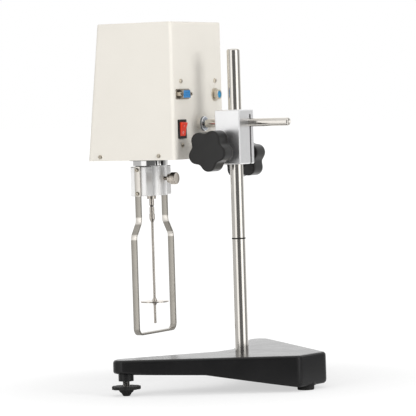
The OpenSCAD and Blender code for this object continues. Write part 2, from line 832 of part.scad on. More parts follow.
// Spur gear outline with involute flanks; a tooth points along +X
module gear_outline(m, teeth) {
  pitch = m * teeth / 2;
  root = pitch - 1.25 * m;
  tip = pitch + m;
  radii = [for (i = [0:3]) root + (tip - root) * i / 3];
  tooth = concat([for (r = radii) [r, -tooth_half(r, pitch, teeth)]],
    [for (i = [3:-1:0]) [radii[i], tooth_half(radii[i], pitch, teeth)]]);
  polygon([for (i = [0:teeth - 1], p = tooth) let (a = i * 360 / teeth + p[1]) [p[0] * cos(a), p[0] * sin(a)]]);
}

module slotted_disc(hub) {
  difference() {
    union() {
      cylinder(r = disc_r, h = disc_t);
      translate([0, 0, -3]) cylinder(r = hub + 2.5, h = 3 + eps);
    }
    translate([0, 0, -4]) cylinder(r = hub, h = 6);
    for (i = [0:disc_slots - 1]) rotate(i * 360 / disc_slots)
      translate([disc_r - 4, -0.5, -1]) cube([3, 1, disc_t + 2]);
  }
}

module motor() {
  color("#2b2b2d") difference() {
    union() {
      translate([head_x, motor_y, plate_z - motor_h])
        linear_extrude(motor_h) translate([-motor_w / 2, -motor_w / 2]) rounded_rect(motor_w, motor_w, 4);
      translate([head_x, motor_y, plate_z - eps]) cylinder(r = pilot_r, h = 2);
    }
    translate([head_x, motor_y, plate_z - 14]) cylinder(r = 2.5 + fit, h = 20);
  }
}

module motor_pinion() {
  color("#b08d4a") translate([head_x, motor_y, 0]) {
    translate([0, 0, gear_z]) rotate(-90 + 180 / pinion_teeth) linear_extrude(gear_t)
      gear_outline(gear_m, pinion_teeth);
    translate([0, 0, plate_z - 13]) cylinder(r = 2.5, h = gear_z + gear_t - plate_z + 13);
  }
}

module drive_gear() {
  low = drive_disc_z - 3;
  color("#b9974f") at_axis(0) difference() {
    union() {
      translate([0, 0, gear_z]) rotate(90) linear_extrude(gear_t) difference() {
        gear_outline(gear_m, gear_teeth);
        for (i = [0:4]) rotate(36 + 72 * i) translate([gear_r * 0.58, 0]) circle(gear_r * 0.2);
      }
      translate([0, 0, low]) cylinder(r = drive_r, h = gear_z + gear_t + 3 - low);
    }
    translate([0, 0, low - eps]) cylinder(r = pivot_r + fit, h = 26);
  }
}

// The disc carries the pin that holds the hairspring's outer end
module drive_disc() {
  pin_h = drive_disc_z - spring_z;
  color("#8f9498") at_axis(drive_disc_z) {
    slotted_disc(drive_r);
    translate([0, spring_pin_y, -pin_h]) cylinder(r = spring_pin_r, h = pin_h + eps);
  }
}

module pivot_disc() {
  color("#8f9498") at_axis(pivot_disc_z) slotted_disc(pivot_r);
}

module drive_bearing() {
  color("#a7a9ac") at_axis(plate_z) difference() {
    cylinder(r = bearing_r, h = plate_h);
    translate([0, 0, -eps]) cylinder(r = drive_r + fit, h = plate_h + 2 * eps);
    for (z = [0, plate_h - 0.6]) translate([0, 0, z - (z > 0 ? 0 : eps)]) difference() {
      cylinder(r = 9, h = 0.6 + eps);
      translate([0, 0, -eps]) cylinder(r = 7, h = 1);
    }
  }
}

module upper_plate() {
  back = post_y[1] + post_r + plate_rim;
  front = post_y[0] - post_r - plate_rim;
  half = post_x + post_r + plate_rim;
  color("#c0c2c4") difference() {
    translate([head_x - half, front, plate_z]) linear_extrude(plate_h)
      rounded_rect(2 * half, back - front, post_r);
    at_axis(plate_z - eps) cylinder(r = bearing_r, h = plate_h + 2 * eps);
    translate([head_x, motor_y, plate_z - eps]) cylinder(r = pilot_r, h = plate_h + 2 * eps);
  }
}

module pillars() {
  color("#bfc1c3") for (side = [-1, 1], y = post_y)
    translate([head_x + side * post_x, y, chassis_top]) cylinder(r = post_r, h = plate_z - chassis_top);
}

module board_standoffs() {
  low = plate_z + plate_h;
  color("#c9b26a") for (side = [-1, 1], y = standoff_y)
    translate([head_x + side * post_x, y, low]) cylinder(r = standoff_r, h = board_z - low, $fn = 6);
}

module circuit_board() {
  back = rear_y - 8;
  half = post_x + 16;
  color("#2c6e49") translate([head_x, 0, board_z]) {
    translate([-half, board_front, 0]) cube([2 * half, back - board_front, board_t]);
    translate([-16, board_front + 22, board_t - eps]) cube([20, 20, 2.4]);
    translate([14, board_front + 26, board_t - eps]) cube([12, 8, 2]);
    translate([-38, back - 34, board_t - eps]) cube([14, 22, 12]);
    for (i = [0:3]) translate([-6 + i * 11, back - 14, board_t - eps]) cylinder(r = 4, h = 11);
  }
}

module level_cup() {
  color("#2a2a2b") translate([head_x, level_y, head_top]) difference() {
    union() {
      translate([0, 0, -level_depth]) cylinder(r = level_r, h = level_depth);
      cylinder(r = level_r + 2, h = 0.8);
    }
    translate([0, 0, 2 - level_depth]) cylinder(r = level_r - 2, h = level_depth);
  }
}

module level_vial() {
  r = level_r - 2;
  h = level_depth - 2.4;
  color("#cfe07a") translate([head_x, level_y, head_top - level_depth + 2]) {
    cylinder(r = r, h = h);
    translate([0, 0, h - eps]) cylinder(r1 = r, r2 = r - 1.2, h = 0.6);
  }
}

// Flat spiral of n turns from r0 to r1, as a band t thick
function spiral(r0, r1, n, t, steps) = concat(
  [for (i = [0:steps]) let (r = r0 + (r1 - r0) * i / steps, a = 360 * n * i / steps) [r * cos(a), r * sin(a)]],
  [for (i = [steps:-1:0]) let (r = r0 + (r1 - r0) * i / steps + t, a = 360 * n * i / steps)
    [r * cos(a), r * sin(a)]]);

module hairspring() {
  collet_r = pivot_r + 1.6;
  color("#7d6a3c") at_axis(spring_z) {
    linear_extrude(1.2) polygon(spiral(collet_r - 0.2, spring_r, 4, spring_t, 72));
    difference() {
      translate([0, 0, -0.3]) cylinder(r = collet_r, h = 1.8);
      translate([0, 0, -1]) cylinder(r = pivot_r, h = 4);
    }
  }
}

module pivot_shaft() {
  low = holder_low - gap - collar_h;
  top = drive_disc_z + 20;
  color("#c4c0b8") at_axis(0) {
    translate([0, 0, low]) cylinder(r = pivot_r, h = top - low);
    translate([0, 0, low]) cylinder(r = collar_r, h = collar_h);
    translate([0, 0, low - 14]) cylinder(r = 1.5, h = 14 + eps);
  }
}

module sensor_bracket() {
  color("#9fa2a5") translate([head_x + sensor_out, axis_y, 0]) {
    translate([0, -7, chassis_top]) cube([1.5, 14, drive_disc_z + 6 - chassis_top]);
    translate([0, -7, chassis_top]) cube([8, 14, 1.5]);
  }
}

module sensors() {
  color("#1c1c1e") for (z = [drive_disc_z, pivot_disc_z])
    translate([head_x + sensor_in, axis_y - 5, z - 3.5]) difference() {
      cube([sensor_out - sensor_in, 10, 8]);
      translate([-1, -1, 2.4]) cube([disc_r + 1.5 - sensor_in + 1, 12, 3.2]);
    }
}

// ---- Neck and guard ----

module neck() {
  tube_top = chassis_top + 4;
  color("#cfcdc8") at_axis(0) rotate_extrude()
    polygon([[jewel_r, holder_low], [spigot_r - 0.8, holder_low], [spigot_r, holder_low + 0.8],
      [spigot_r, neck_low], [neck_d / 2 - 0.5, neck_low], [neck_d / 2, neck_low + 0.5],
      [neck_d / 2, flange_top], [spigot_r - 1, flange_top], [spigot_r - 1, tube_top],
      [shaft_room_r, tube_top], [shaft_room_r, holder_low + jewel_t], [jewel_r, holder_low + jewel_t]]);
}

module jewel_bearing() {
  color("#8e2f3a") at_axis(holder_low) difference() {
    cylinder(r = jewel_r, h = jewel_t);
    translate([0, 0, -eps]) cylinder(r = pivot_r + fit, h = jewel_t + 2 * eps);
  }
}

module guard_holder() {
  color("#c6c7c9") at_axis(holder_low) difference() {
    union() {
      cylinder(d = holder_d, h = holder_h);
      translate([-holder_w / 2, -bar_t / 2, 0]) bevelled_box([holder_w, bar_t, holder_h], 0.8);
    }
    translate([0, 0, -eps]) cylinder(r = spigot_r + fit, h = holder_h + 2 * eps);
    translate([0, 0, thumb_z - holder_low]) rotate([-90, 0, 0]) cylinder(r = 2.5 + fit, h = holder_d);
    for (side = [-1, 1], z = guard_screw_z)
      translate([side * holder_w / 2, 0, z - holder_low]) rotate([0, -90 * side, 0])
        translate([0, 0, -1]) cylinder(r = 1.5, h = 9);
  }
}

// Guard's outline seen along Y: legs, outward jogs and the rounded foot
module guard() {
  h = strip_t / 2;
  all_h = holder_top - guard_low;
  color("#b8b1a2") at_axis(0) translate([0, strip_w / 2, 0]) rotate([90, 0, 0]) difference() {
    linear_extrude(strip_w) {
      difference() {
        translate([-leg_low - h, guard_low]) rounded_rect(2 * (leg_low + h), all_h, bend_r + h);
        translate([-leg_low + h, guard_low + strip_t])
          rounded_rect(2 * (leg_low - h), all_h, bend_r - h);
        translate([-guard_w, jog_low]) square([2 * guard_w, all_h]);
      }
      for (side = [-1, 1]) scale([side, 1]) {
        polygon([[leg_low - h, jog_low], [leg_low + h, jog_low], [leg_top + h, jog_top], [leg_top - h, jog_top]]);
        translate([leg_top - h, jog_top]) square([strip_t, holder_top - jog_top]);
      }
    }
    for (side = [-1, 1], z = guard_screw_z)
      translate([side * leg_top - side * 2, z, strip_w / 2]) rotate([0, 90 * side, 0])
        cylinder(r = 1.5, h = 4);
  }
}

module guard_screws() {
  color("#c8b48c") for (side = [-1, 1], z = guard_screw_z)
    at_axis(z) translate([side * (leg_top + strip_t / 2), 0, 0]) rotate([0, 90 * side, 0])
      pan_screw(3, 8, 5, 1.8);
}

module thumb_screw() {
  shank_start = holder_d / 2 + 1;
  shank_r = 5.5;
  head_start = 31;
  head_t = 5.5;
  head_r = 7.5;
  color("#c3b7a8") at_axis(thumb_z) rotate([-90, 0, 0]) {
    translate([0, 0, spigot_r + gap]) cylinder(r = 2.5, h = shank_start - spigot_r);
    translate([0, 0, shank_start]) cylinder(r = shank_r, h = head_start - shank_start);
    translate([0, 0, head_start]) linear_extrude(head_t) difference() {
      circle(head_r);
      for (i = [0:35]) rotate(10 * i) translate([head_r, 0]) circle(0.3, $fn = 12);
    }
  }
}

// ---- Spindle ----

module spindle_coupling() {
  top = holder_low - gap - collar_h;
  color("#c9bfb0") at_axis(top - 8) difference() {
    union() {
      cylinder(r = 3, h = 8);
      translate([0, 0, -1.5]) cylinder(r = 2.3, h = 1.5 + eps);
    }
    translate([0, 0, -2]) cylinder(r = 1.5, h = 11);
  }
}

module spindle() {
  top = holder_low - gap - collar_h - 9.5;
  shaft_r = spindle_d / 2;
  hub_r = 3.4;
  disc_r = spindle_disc_d / 2;
  disc_low = spindle_disc_z - spindle_disc_t / 2;
  disc_high = spindle_disc_z + spindle_disc_t / 2;
  low = disc_low - spindle_tail;
  mark = spindle_disc_z + 25;
  color("#c8c3ba") at_axis(0) difference() {
    rotate_extrude() polygon([[0, low], [shaft_r - 0.4, low], [shaft_r, low + 0.4], [shaft_r, disc_low - 4],
      [hub_r, disc_low], [disc_r, disc_low], [disc_r, disc_high], [hub_r, disc_high],
      [shaft_r, disc_high + 4.5], [shaft_r, mark - 0.5], [shaft_r - 0.35, mark - 0.5],
      [shaft_r - 0.35, mark + 0.5], [shaft_r, mark + 0.5], [shaft_r, top - 19.5], [hub_r, top - 15.5],
      [hub_r, top - 9], [3, top - 9], [3, top - 1], [2.3, top - 1], [2.3, top], [0, top]]);
    translate([0, 0, top - 5]) cylinder(r = 1.5, h = 5 + eps);
  }
}

base_casting();
rear_foot();
foot_stud_near();
foot_wheel_near();
foot_stud_far();
foot_wheel_far();
column();
column_ring();
column_bolt();
column_washer();
clamp_block();
column_knob();
column_knob_stud();
rod_knob();
rod_knob_stud();
support_rod();
rod_lock_nut();
rod_bush();
housing();
bottom_plate();
side_screws();
rear_screws();
chassis();
dsub_shell();
dsub_insert();
dsub_jackscrews();
round_socket();
round_insert();
switch_body();
switch_rocker();
display_window();
display_module();
keypad();
circuit_board();
board_standoffs();
level_cup();
level_vial();
motor();
motor_pinion();
upper_plate();
pillars();
drive_gear();
drive_disc();
drive_bearing();
hairspring();
pivot_shaft();
pivot_disc();
sensor_bracket();
sensors();
neck();
jewel_bearing();
guard_holder();
guard();
guard_screws();
thumb_screw();
spindle_coupling();
spindle();
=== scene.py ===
"""Rotational viscometer on its stand, dressed for rendering.

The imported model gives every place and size. This script adds the finishes, redraws the lobed
knobs, the thumb screw and the guard's strip with their roundings, adds the data socket's sleeve
and the printed marks, and sets up the studio and the camera.
"""
import math

import bmesh
import bpy
import numpy as np
from mathutils import Matrix, Vector


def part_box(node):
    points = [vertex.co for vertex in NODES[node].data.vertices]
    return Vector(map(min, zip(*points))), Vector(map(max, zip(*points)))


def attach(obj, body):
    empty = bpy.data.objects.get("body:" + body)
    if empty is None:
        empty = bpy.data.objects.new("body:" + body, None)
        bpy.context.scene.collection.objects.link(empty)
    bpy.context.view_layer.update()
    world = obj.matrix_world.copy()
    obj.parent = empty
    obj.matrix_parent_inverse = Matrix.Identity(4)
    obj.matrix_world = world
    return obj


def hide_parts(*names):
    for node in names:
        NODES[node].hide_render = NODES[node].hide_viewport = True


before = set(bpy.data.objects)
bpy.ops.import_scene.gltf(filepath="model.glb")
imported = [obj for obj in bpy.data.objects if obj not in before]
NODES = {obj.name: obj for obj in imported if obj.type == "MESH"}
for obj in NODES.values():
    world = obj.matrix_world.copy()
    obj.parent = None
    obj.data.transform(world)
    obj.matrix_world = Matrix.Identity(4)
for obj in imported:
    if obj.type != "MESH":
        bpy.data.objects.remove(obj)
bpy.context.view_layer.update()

MM = 0.001

# The head's front leans back by 18 mm over the head's height
HEAD_LOW, HEAD_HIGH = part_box("housing")
FRONT_LEAN = math.atan2(18 * MM, HEAD_HIGH[2] - HEAD_LOW[2])

# The guard's strip: its thickness, how far below the holder its jog begins, the jog's height, and
# the radii of the bends at the jog and at the foot
STRIP_T = 2.5 * MM
JOG_BELOW, JOG_H = 31.5 * MM, 17.5 * MM
JOG_R, FOOT_R = 9 * MM, 8 * MM


# ---------------------------------------------------------------- shader tools

class Signal:
    """A shader socket that takes the plain arithmetic signs."""

    def __init__(self, finish, socket):
        self.finish = finish
        self.socket = socket

    def maths(self, operation, *others):
        return self.finish.node("Math", {"operation": operation}, [self, *others])

    def __add__(self, other):
        return self.maths("ADD", other)

    def __sub__(self, other):
        return self.maths("SUBTRACT", other)

    def __rsub__(self, other):
        return self.maths("MULTIPLY_ADD", -1.0, other)

    def __mul__(self, other):
        return self.maths("MULTIPLY", other)

    def __truediv__(self, other):
        return self.maths("DIVIDE", other)

    def __abs__(self):
        return self.maths("ABSOLUTE")

    __radd__ = __add__
    __rmul__ = __mul__

    def most(self, other):
        return self.maths("MAXIMUM", other)

    def rise(self, low, high):
        """0 below low, 1 above high, and a smooth step between."""
        settings = {"interpolation_type": "SMOOTHSTEP"}
        ends = {"Value": self, "From Min": low, "From Max": high}
        return self.finish.node("MapRange", settings, ends)

    def between(self, low, high, soft):
        """1 inside low to high, and 0 outside, with soft edges."""
        return self.rise(low - soft, low + soft) * (1 - self.rise(high - soft, high + soft))


def distance(a, b):
    """How far a point lies from an axis, from its two places across it."""
    return (a * a + b * b).maths("SQRT")


class Finish:
    """A material or a world while its nodes are being made."""

    def __init__(self, name, owner=None):
        self.made = owner or bpy.data.materials.new(name)
        self.made.use_nodes = True
        self.tree = self.made.node_tree
        self.tree.nodes.clear()

    def node(self, kind, settings=None, inputs=(), output=0):
        """Adds a node: its settings first, then the values or links of its sockets."""
        made = self.tree.nodes.new("ShaderNode" + kind)
        for name, value in (settings or {}).items():
            if name == "stops":
                self.set_stops(made.color_ramp, value)
            else:
                setattr(made, name, value)
        pairs = inputs.items() if isinstance(inputs, dict) else enumerate(inputs)
        for key, value in pairs:
            self.connect(made.inputs[key], value)
        return Signal(self, made.outputs[output]) if made.outputs else None

    def connect(self, socket, value):
        if isinstance(value, Signal):
            self.tree.links.new(value.socket, socket)
        elif isinstance(value, (tuple, list)) and len(value) == 3 and socket.type == "RGBA":
            socket.default_value = (*value, 1.0)
        else:
            socket.default_value = value

    @staticmethod
    def set_stops(ramp, stops):
        while len(ramp.elements) < len(stops):
            ramp.elements.new(0.5)
        for element, (place, colour) in zip(ramp.elements, stops):
            element.position = place
            element.color = (*colour, 1.0)

    def place(self, scale=(1, 1, 1), shift=(0, 0, 0)):
        """The object's own coordinates, in metres, stretched by scale and then moved by shift."""
        own = self.node("TexCoord", output="Object")
        return self.node("Mapping", inputs={"Vector": own, "Location": shift, "Scale": scale})

    def parts(self, vector):
        split = self.node("SeparateXYZ", inputs=[vector])
        return [Signal(self, split.socket.node.outputs[i]) for i in range(3)]

    def about(self, box):
        """x, y and z from the middle of a box."""
        shift = [-(low + high) / 2 for low, high in zip(*box)]
        return self.parts(self.place(shift=shift))

    def noise(self, size, detail=3.0, rough=0.5, scale=(1, 1, 1)):
        """Cloudy noise from 0 to 1 whose clouds are about size metres across."""
        return self.node("TexNoise", inputs={"Vector": self.place(scale), "Scale": 1 / size,
                                             "Detail": detail, "Roughness": rough})

    def tool_lines(self, stretch):
        """Fine noise squeezed across a tool's lines and drawn out along them."""
        return self.noise(TOOL_LINE, 4.0, 0.6, stretch)

    def mix(self, factor, first, second):
        """A colour between first and second. The Mix node's colour sockets go by number."""
        return self.node("Mix", {"data_type": "RGBA"}, {0: factor, 6: first, 7: second}, output=2)

    def bump(self, height, depth, strength=1.0):
        """A normal from a height from 0 to 1 that stands for depth metres."""
        return self.node("Bump", inputs={"Height": height, "Distance": depth, "Strength": strength})

    def rays(self, kind):
        """1 for a kind of ray, by the name of the Light Path node's output, and 0 for the rest."""
        return self.node("LightPath", output=kind)

    def surface(self, **sockets):
        """Ends the material in a Principled shader; _ stands for a space in a socket's name."""
        values = {name.replace("_", " "): value for name, value in sockets.items()}
        shader = self.node("BsdfPrincipled", inputs=values)
        self.node("OutputMaterial", inputs={"Surface": shader})
        return self.made


# -------------------------------------------------------------------- finishes

# How wide a tool's line is, and how noise is stretched so that the lines run along or round an axis
TOOL_LINE = 0.5 * MM
EVEN = (1, 1, 1)
ALONG_X = (0.02, 1, 1)
ALONG_Z = (1, 1, 0.02)
ROUND_Z = (0.03, 0.03, 1)
ROUND_Y = (0.03, 1, 0.03)

# Worked metals: darker tone, paler tone, roughness, the tool lines' stretch, their depth in metres,
# and how far they change the roughness
METALS = {
    "column_steel": ((0.62, 0.59, 0.545), (0.80, 0.775, 0.73), 0.115, ROUND_Z, 0.000004, 0.05),
    "rod_steel": ((0.62, 0.585, 0.54), (0.79, 0.76, 0.71), 0.13, ROUND_Y, 0.000004, 0.05),
    "mirror_neck": ((0.66, 0.655, 0.65), (0.80, 0.795, 0.785), 0.06, ROUND_Z, 0.000002, 0.03),
    "nickel_turned": ((0.56, 0.51, 0.45), (0.72, 0.66, 0.59), 0.24, ROUND_Y, 0.000006, 0.08),
    "plated_screw": ((0.50, 0.45, 0.37), (0.68, 0.62, 0.52), 0.26, EVEN, 0.00001, 0.08),
    "zinc_plate": ((0.44, 0.43, 0.40), (0.60, 0.585, 0.55), 0.30, EVEN, 0.00001, 0.10),
    "tin_shell": ((0.30, 0.27, 0.23), (0.46, 0.42, 0.36), 0.30, ALONG_X, 0.00001, 0.10),
    "socket_nickel": ((0.60, 0.55, 0.46), (0.76, 0.70, 0.60), 0.30, ROUND_Y, 0.00001, 0.08),
    "dark_sheet": ((0.07, 0.068, 0.064), (0.12, 0.115, 0.108), 0.42, ALONG_X, 0.00001, 0.08),
    "mill_sheet": ((0.48, 0.485, 0.49), (0.60, 0.605, 0.61), 0.36, ALONG_X, 0.00001, 0.12),
    "brass": ((0.46, 0.31, 0.10), (0.62, 0.44, 0.16), 0.28, ROUND_Z, 0.000008, 0.08),
    "spring_bronze": ((0.26, 0.16, 0.05), (0.38, 0.25, 0.09), 0.30, ROUND_Z, 0.000005, 0.08),
    "etched_disc": ((0.26, 0.265, 0.27), (0.38, 0.385, 0.39), 0.30, ROUND_Z, 0.000005, 0.08),
    "black_bolt": ((0.05, 0.05, 0.052), (0.09, 0.09, 0.092), 0.40, EVEN, 0.00001, 0.08),
}

# Glossy plastics: deeper tone, brighter tone and roughness
PLASTICS = {
    "blue_insert": ((0.010, 0.175, 0.46), (0.018, 0.245, 0.58), 0.34),
    "probe_insert": ((0.025, 0.30, 0.60), (0.045, 0.39, 0.70), 0.34),
    "red_rocker": ((0.80, 0.036, 0.014), (0.90, 0.060, 0.022), 0.30),
    "ruby_jewel": ((0.20, 0.008, 0.016), (0.32, 0.015, 0.03), 0.12),
}

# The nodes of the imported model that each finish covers
COVERS = {
    "ivory_paint": ["housing"],
    "black_enamel": ["base_casting"],
    "black_moulding": ["column_knob", "rod_knob", "switch_body", "sensors", "level_cup", "motor"],
    "rubber": ["rear_foot", "column_ring", "foot_wheel_near", "foot_wheel_far"],
    "column_steel": ["column"],
    "rod_steel": ["support_rod"],
    "bead_blasted": ["clamp_block"],
    "turned_aluminium": ["guard_holder"],
    "chrome_bush": ["rod_bush"],
    "mirror_neck": ["neck"],
    "bent_strip": ["guard"],
    "nickel_turned": ["thumb_screw"],
    "shaft_steel": ["spindle", "spindle_coupling", "pivot_shaft"],
    "plated_screw": ["side_screws", "rear_screws", "guard_screws", "dsub_jackscrews"],
    "zinc_plate": ["column_knob_stud", "rod_knob_stud", "column_washer", "rod_lock_nut", "pillars",
                   "drive_bearing"],
    "rolled_thread": ["foot_stud_near", "foot_stud_far"],
    "tin_shell": ["dsub_shell"],
    "socket_nickel": ["round_socket"],
    "dark_sheet": ["bottom_plate"],
    "mill_sheet": ["chassis", "upper_plate", "sensor_bracket"],
    "brass": ["drive_gear", "motor_pinion", "board_standoffs"],
    "spring_bronze": ["hairspring"],
    "etched_disc": ["drive_disc", "pivot_disc"],
    "black_bolt": ["column_bolt"],
    "blue_insert": ["dsub_insert"],
    "probe_insert": ["round_insert"],
    "red_rocker": ["switch_rocker"],
    "ruby_jewel": ["jewel_bearing"],
    "printed_film": ["keypad"],
    "solder_mask": ["circuit_board", "display_module"],
    "clear_window": ["display_window"],
    "spirit_vial": ["level_vial"],
}


def ivory_paint():
    """Warm ivory spray paint: a fine orange-peel skin, with a little unevenness in tone."""
    f = Finish("ivory_paint")
    tone = f.noise(0.045, 2.0)
    peel = f.noise(0.0011, 2.0, 0.6)
    colour = f.mix(tone, (0.775, 0.742, 0.677), (0.812, 0.779, 0.714))
    rough = 0.57 + 0.10 * f.noise(0.02, 2.0)
    return f.surface(Base_Color=colour, Roughness=rough, Normal=f.bump(peel, 0.00004, 0.35),
                     Specular_IOR_Level=0.30)


def black_enamel():
    """Satin black stove enamel on a casting: orange peel over slow waves, with duller patches."""
    f = Finish("black_enamel")
    waves = f.noise(0.018, 2.0)
    peel = f.noise(0.0016, 3.0, 0.6)
    height = 0.7 * peel + 0.3 * waves
    patches = f.noise(0.03, 4.0)
    colour = f.mix(patches, (0.0075, 0.0075, 0.008), (0.0130, 0.0128, 0.0130))
    rough = 0.18 + 0.10 * patches
    return f.surface(Base_Color=colour, Roughness=rough, Normal=f.bump(height, 0.00006, 0.45),
                     Specular_IOR_Level=0.24)


def black_moulding():
    """Satin black moulded plastic with a fine spark-eroded grain."""
    f = Finish("black_moulding")
    pits = f.noise(0.0009, 3.0, 0.65)
    blush = f.noise(0.012, 2.0)
    colour = f.mix(blush, (0.0095, 0.0092, 0.009), (0.0150, 0.0144, 0.0136))
    return f.surface(Base_Color=colour, Roughness=0.27 + 0.10 * blush,
                     Normal=f.bump(pits, 0.00003, 0.35), Specular_IOR_Level=0.34)


def rubber():
    """Matt black rubber with a dusty bloom."""
    f = Finish("rubber")
    bloom = f.noise(0.004, 4.0)
    colour = f.mix(bloom, (0.010, 0.010, 0.010), (0.024, 0.023, 0.022))
    return f.surface(Base_Color=colour, Roughness=0.60 + 0.15 * bloom,
                     Normal=f.bump(bloom, 0.00005, 0.5), Specular_IOR_Level=0.3)


def worked_metal(name, dark, pale, rough, stretch, depth, spread):
    """Bright metal with fine tool lines and a slow haze, one row of METALS."""
    f = Finish(name)
    lines = f.tool_lines(stretch)
    haze = f.noise(0.014, 2.0)
    colour = f.mix(0.6 * lines + 0.4 * haze, dark, pale)
    rough = rough + spread * (lines - 0.5) + 0.04 * haze
    return f.surface(Base_Color=colour, Metallic=1.0, Roughness=rough,
                     Normal=f.bump(lines, depth, 0.5))


def rolled_thread():
    """Zinc-plated screw: rings that repeat with its pitch along Z, each thread's root darkened with
    painted shade and duller than its crest.
    """
    f = Finish("rolled_thread")
    pitch = 1.25 * MM
    _, _, z = f.parts(f.place())
    ridge = 0.5 + 0.5 * (z * (2 * math.pi / pitch)).maths("SINE")
    # Painted shade: the colour darkens towards each thread's root
    colour = f.mix(ridge, (0.16, 0.155, 0.145), (0.62, 0.60, 0.56))
    return f.surface(Base_Color=colour, Metallic=1.0, Roughness=0.42 - 0.14 * ridge,
                     Normal=f.bump(ridge, 0.4 * MM, 1.0))


def bent_strip():
    """Nickelled strip brushed along its length, with painted highlights in pale bands round each
    bend of the jog and over its upper end where the holder clamps it."""
    f = Finish("nickel_strip")
    lines = f.tool_lines(ALONG_Z)
    haze = f.noise(0.014, 2.0)
    _, _, z = f.parts(f.place())
    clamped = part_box("guard_holder")[0][2]
    jog = clamped - JOG_BELOW
    jog_end = jog - JOG_H
    # Painted highlights: pale bands round the jog's two bends and over the clamped upper end
    upper_bend = z.between(jog - 2.5 * MM, jog + 5.5 * MM, 1.2 * MM)
    lower_bend = z.between(jog_end - 3.5 * MM, jog_end + 2.5 * MM, 1.0 * MM)
    clamped_end = 0.62 * z.rise(clamped - 1.0 * MM, clamped + 0.6 * MM)
    painted_highlight_bands = upper_bend.most(lower_bend).most(clamped_end)
    brushed = f.mix(0.6 * lines + 0.4 * haze, (0.33, 0.31, 0.275), (0.47, 0.445, 0.40))
    colour = f.mix(painted_highlight_bands, brushed, (0.86, 0.82, 0.76))
    return f.surface(Base_Color=colour, Metallic=1.0, Roughness=0.26 + 0.10 * lines,
                     Normal=f.bump(lines, 0.006 * MM, 0.5))


def shaft_steel():
    """Ground spindle steel, with painted shade darkening the bottom of the coupling's groove."""
    f = Finish("shaft_steel")
    lines = f.tool_lines(ROUND_Z)
    _, _, z = f.parts(f.place())
    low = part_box("spindle_coupling")[0][2]
    # Painted shade: a dark band at the bottom of the coupling's groove
    painted_groove_shade = z.between(low - 0.1 * MM, low + 1.6 * MM, 0.15 * MM)
    ground = f.mix(0.30 + 0.4 * lines, (0.52, 0.48, 0.43), (0.66, 0.615, 0.56))
    colour = f.mix(painted_groove_shade, ground, (0.10, 0.088, 0.08))
    return f.surface(Base_Color=colour, Metallic=1.0, Roughness=0.25 + 0.03 * lines,
                     Normal=f.bump(lines, 0.001 * MM, 0.3))


def chrome_bush():
    """Chromed bush: a satin face with a painted highlight on its bevel and painted shade on its
    turned edge, in rings round the rod. Its neck, behind the flange, is painted with the cover."""
    f = Finish("bright_chrome")
    low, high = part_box("rod_bush")
    x, y, z = f.parts(f.place())
    chromed = y.rise(high[1] - 3.15 * MM, high[1] - 3.05 * MM)
    x, z = x - (low[0] + high[0]) / 2, z - (low[2] + high[2]) / 2
    out = distance(x, z)
    rim = (high[0] - low[0]) / 2
    # Painted highlight in a ring on the bevel, and painted shade on the turned edge
    bevel_highlight = out.rise(rim - 1.5 * MM, rim - 0.9 * MM)
    edge = out.rise(rim - 0.25 * MM, rim - 0.1 * MM)
    haze = f.noise(0.004, 2.0)
    face = f.mix(haze, (0.34, 0.37, 0.42), (0.48, 0.51, 0.56))
    colour = f.mix(edge, f.mix(bevel_highlight, face, (0.92, 0.94, 0.97)), (0.20, 0.215, 0.24))
    colour = f.mix(chromed, (0.64, 0.605, 0.54), colour)
    rough = 0.50 - 0.26 * chromed + 0.06 * haze
    return f.surface(Base_Color=colour, Metallic=chromed, Roughness=rough,
                     Normal=f.bump(haze, 0.002 * MM, 0.5))


def bead_blasted():
    """Anodised aluminium blasted to an even satin grain."""
    f = Finish("bead_blasted")
    grain = f.noise(0.00045, 3.0, 0.7)
    cloud = f.noise(0.012, 2.0)
    colour = f.mix(0.5 * grain + 0.5 * cloud, (0.75, 0.75, 0.755), (0.86, 0.86, 0.86))
    return f.surface(Base_Color=colour, Metallic=0.90, Roughness=0.25 + 0.06 * grain,
                     Normal=f.bump(grain, 0.00002, 0.35))


def turned_aluminium():
    """Anodised aluminium turned on a lathe, with a satin bloom."""
    f = Finish("turned_aluminium")
    lines = f.noise(0.0006, 3.0, 0.6, ROUND_Z)
    grain = f.noise(0.0005, 3.0, 0.7)
    colour = f.mix(0.5 * lines + 0.5 * grain, (0.86, 0.855, 0.85), (0.95, 0.945, 0.93))
    return f.surface(Base_Color=colour, Metallic=0.50, Roughness=0.29 + 0.06 * lines,
                     Normal=f.bump(grain, 0.000012, 0.4))


def gloss_plastic(name, deep, bright, rough):
    """Moulded glossy plastic with a faint flow mark, one row of PLASTICS."""
    f = Finish(name)
    flow = f.noise(0.006, 2.0, 0.5, (1, 1, 0.4))
    return f.surface(Base_Color=f.mix(flow, deep, bright), Roughness=rough + 0.06 * flow,
                     Normal=f.bump(flow, 0.00003, 0.3), Specular_IOR_Level=0.5)


# The keypad's domes stand in columns and rows at one pitch
KEY_PITCH = 18 * MM
KEY_R = 6.2 * MM
KEY_COLUMNS, KEY_ROWS = 4, 3


def printed_film():
    """Membrane keypad: matt polyester, darker round the keys' pale domes."""
    f = Finish("printed_film")
    grain = f.noise(0.0005, 3.0, 0.7)
    x, _, z = f.about(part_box("keypad"))
    across = ((x / KEY_PITCH).maths("FRACT") - 0.5) * KEY_PITCH
    up = ((z / (KEY_PITCH * math.cos(FRONT_LEAN)) + 0.5).maths("FRACT") - 0.5) * KEY_PITCH
    dome = 1 - distance(across, up).rise(KEY_R - 0.1 * MM, KEY_R + 0.1 * MM)
    half_w, half_h = KEY_COLUMNS / 2 * KEY_PITCH, KEY_ROWS / 2 * KEY_PITCH
    dome = dome * x.between(-half_w, half_w, MM) * z.between(-half_h, half_h, MM)
    ground = f.mix(grain, (0.040, 0.062, 0.100), (0.052, 0.078, 0.122))
    key = f.mix(grain, (0.30, 0.32, 0.34), (0.38, 0.40, 0.42))
    return f.surface(Base_Color=f.mix(dome, ground, key), Roughness=0.46 + 0.1 * grain,
                     Normal=f.bump(grain, 0.00002, 0.5))


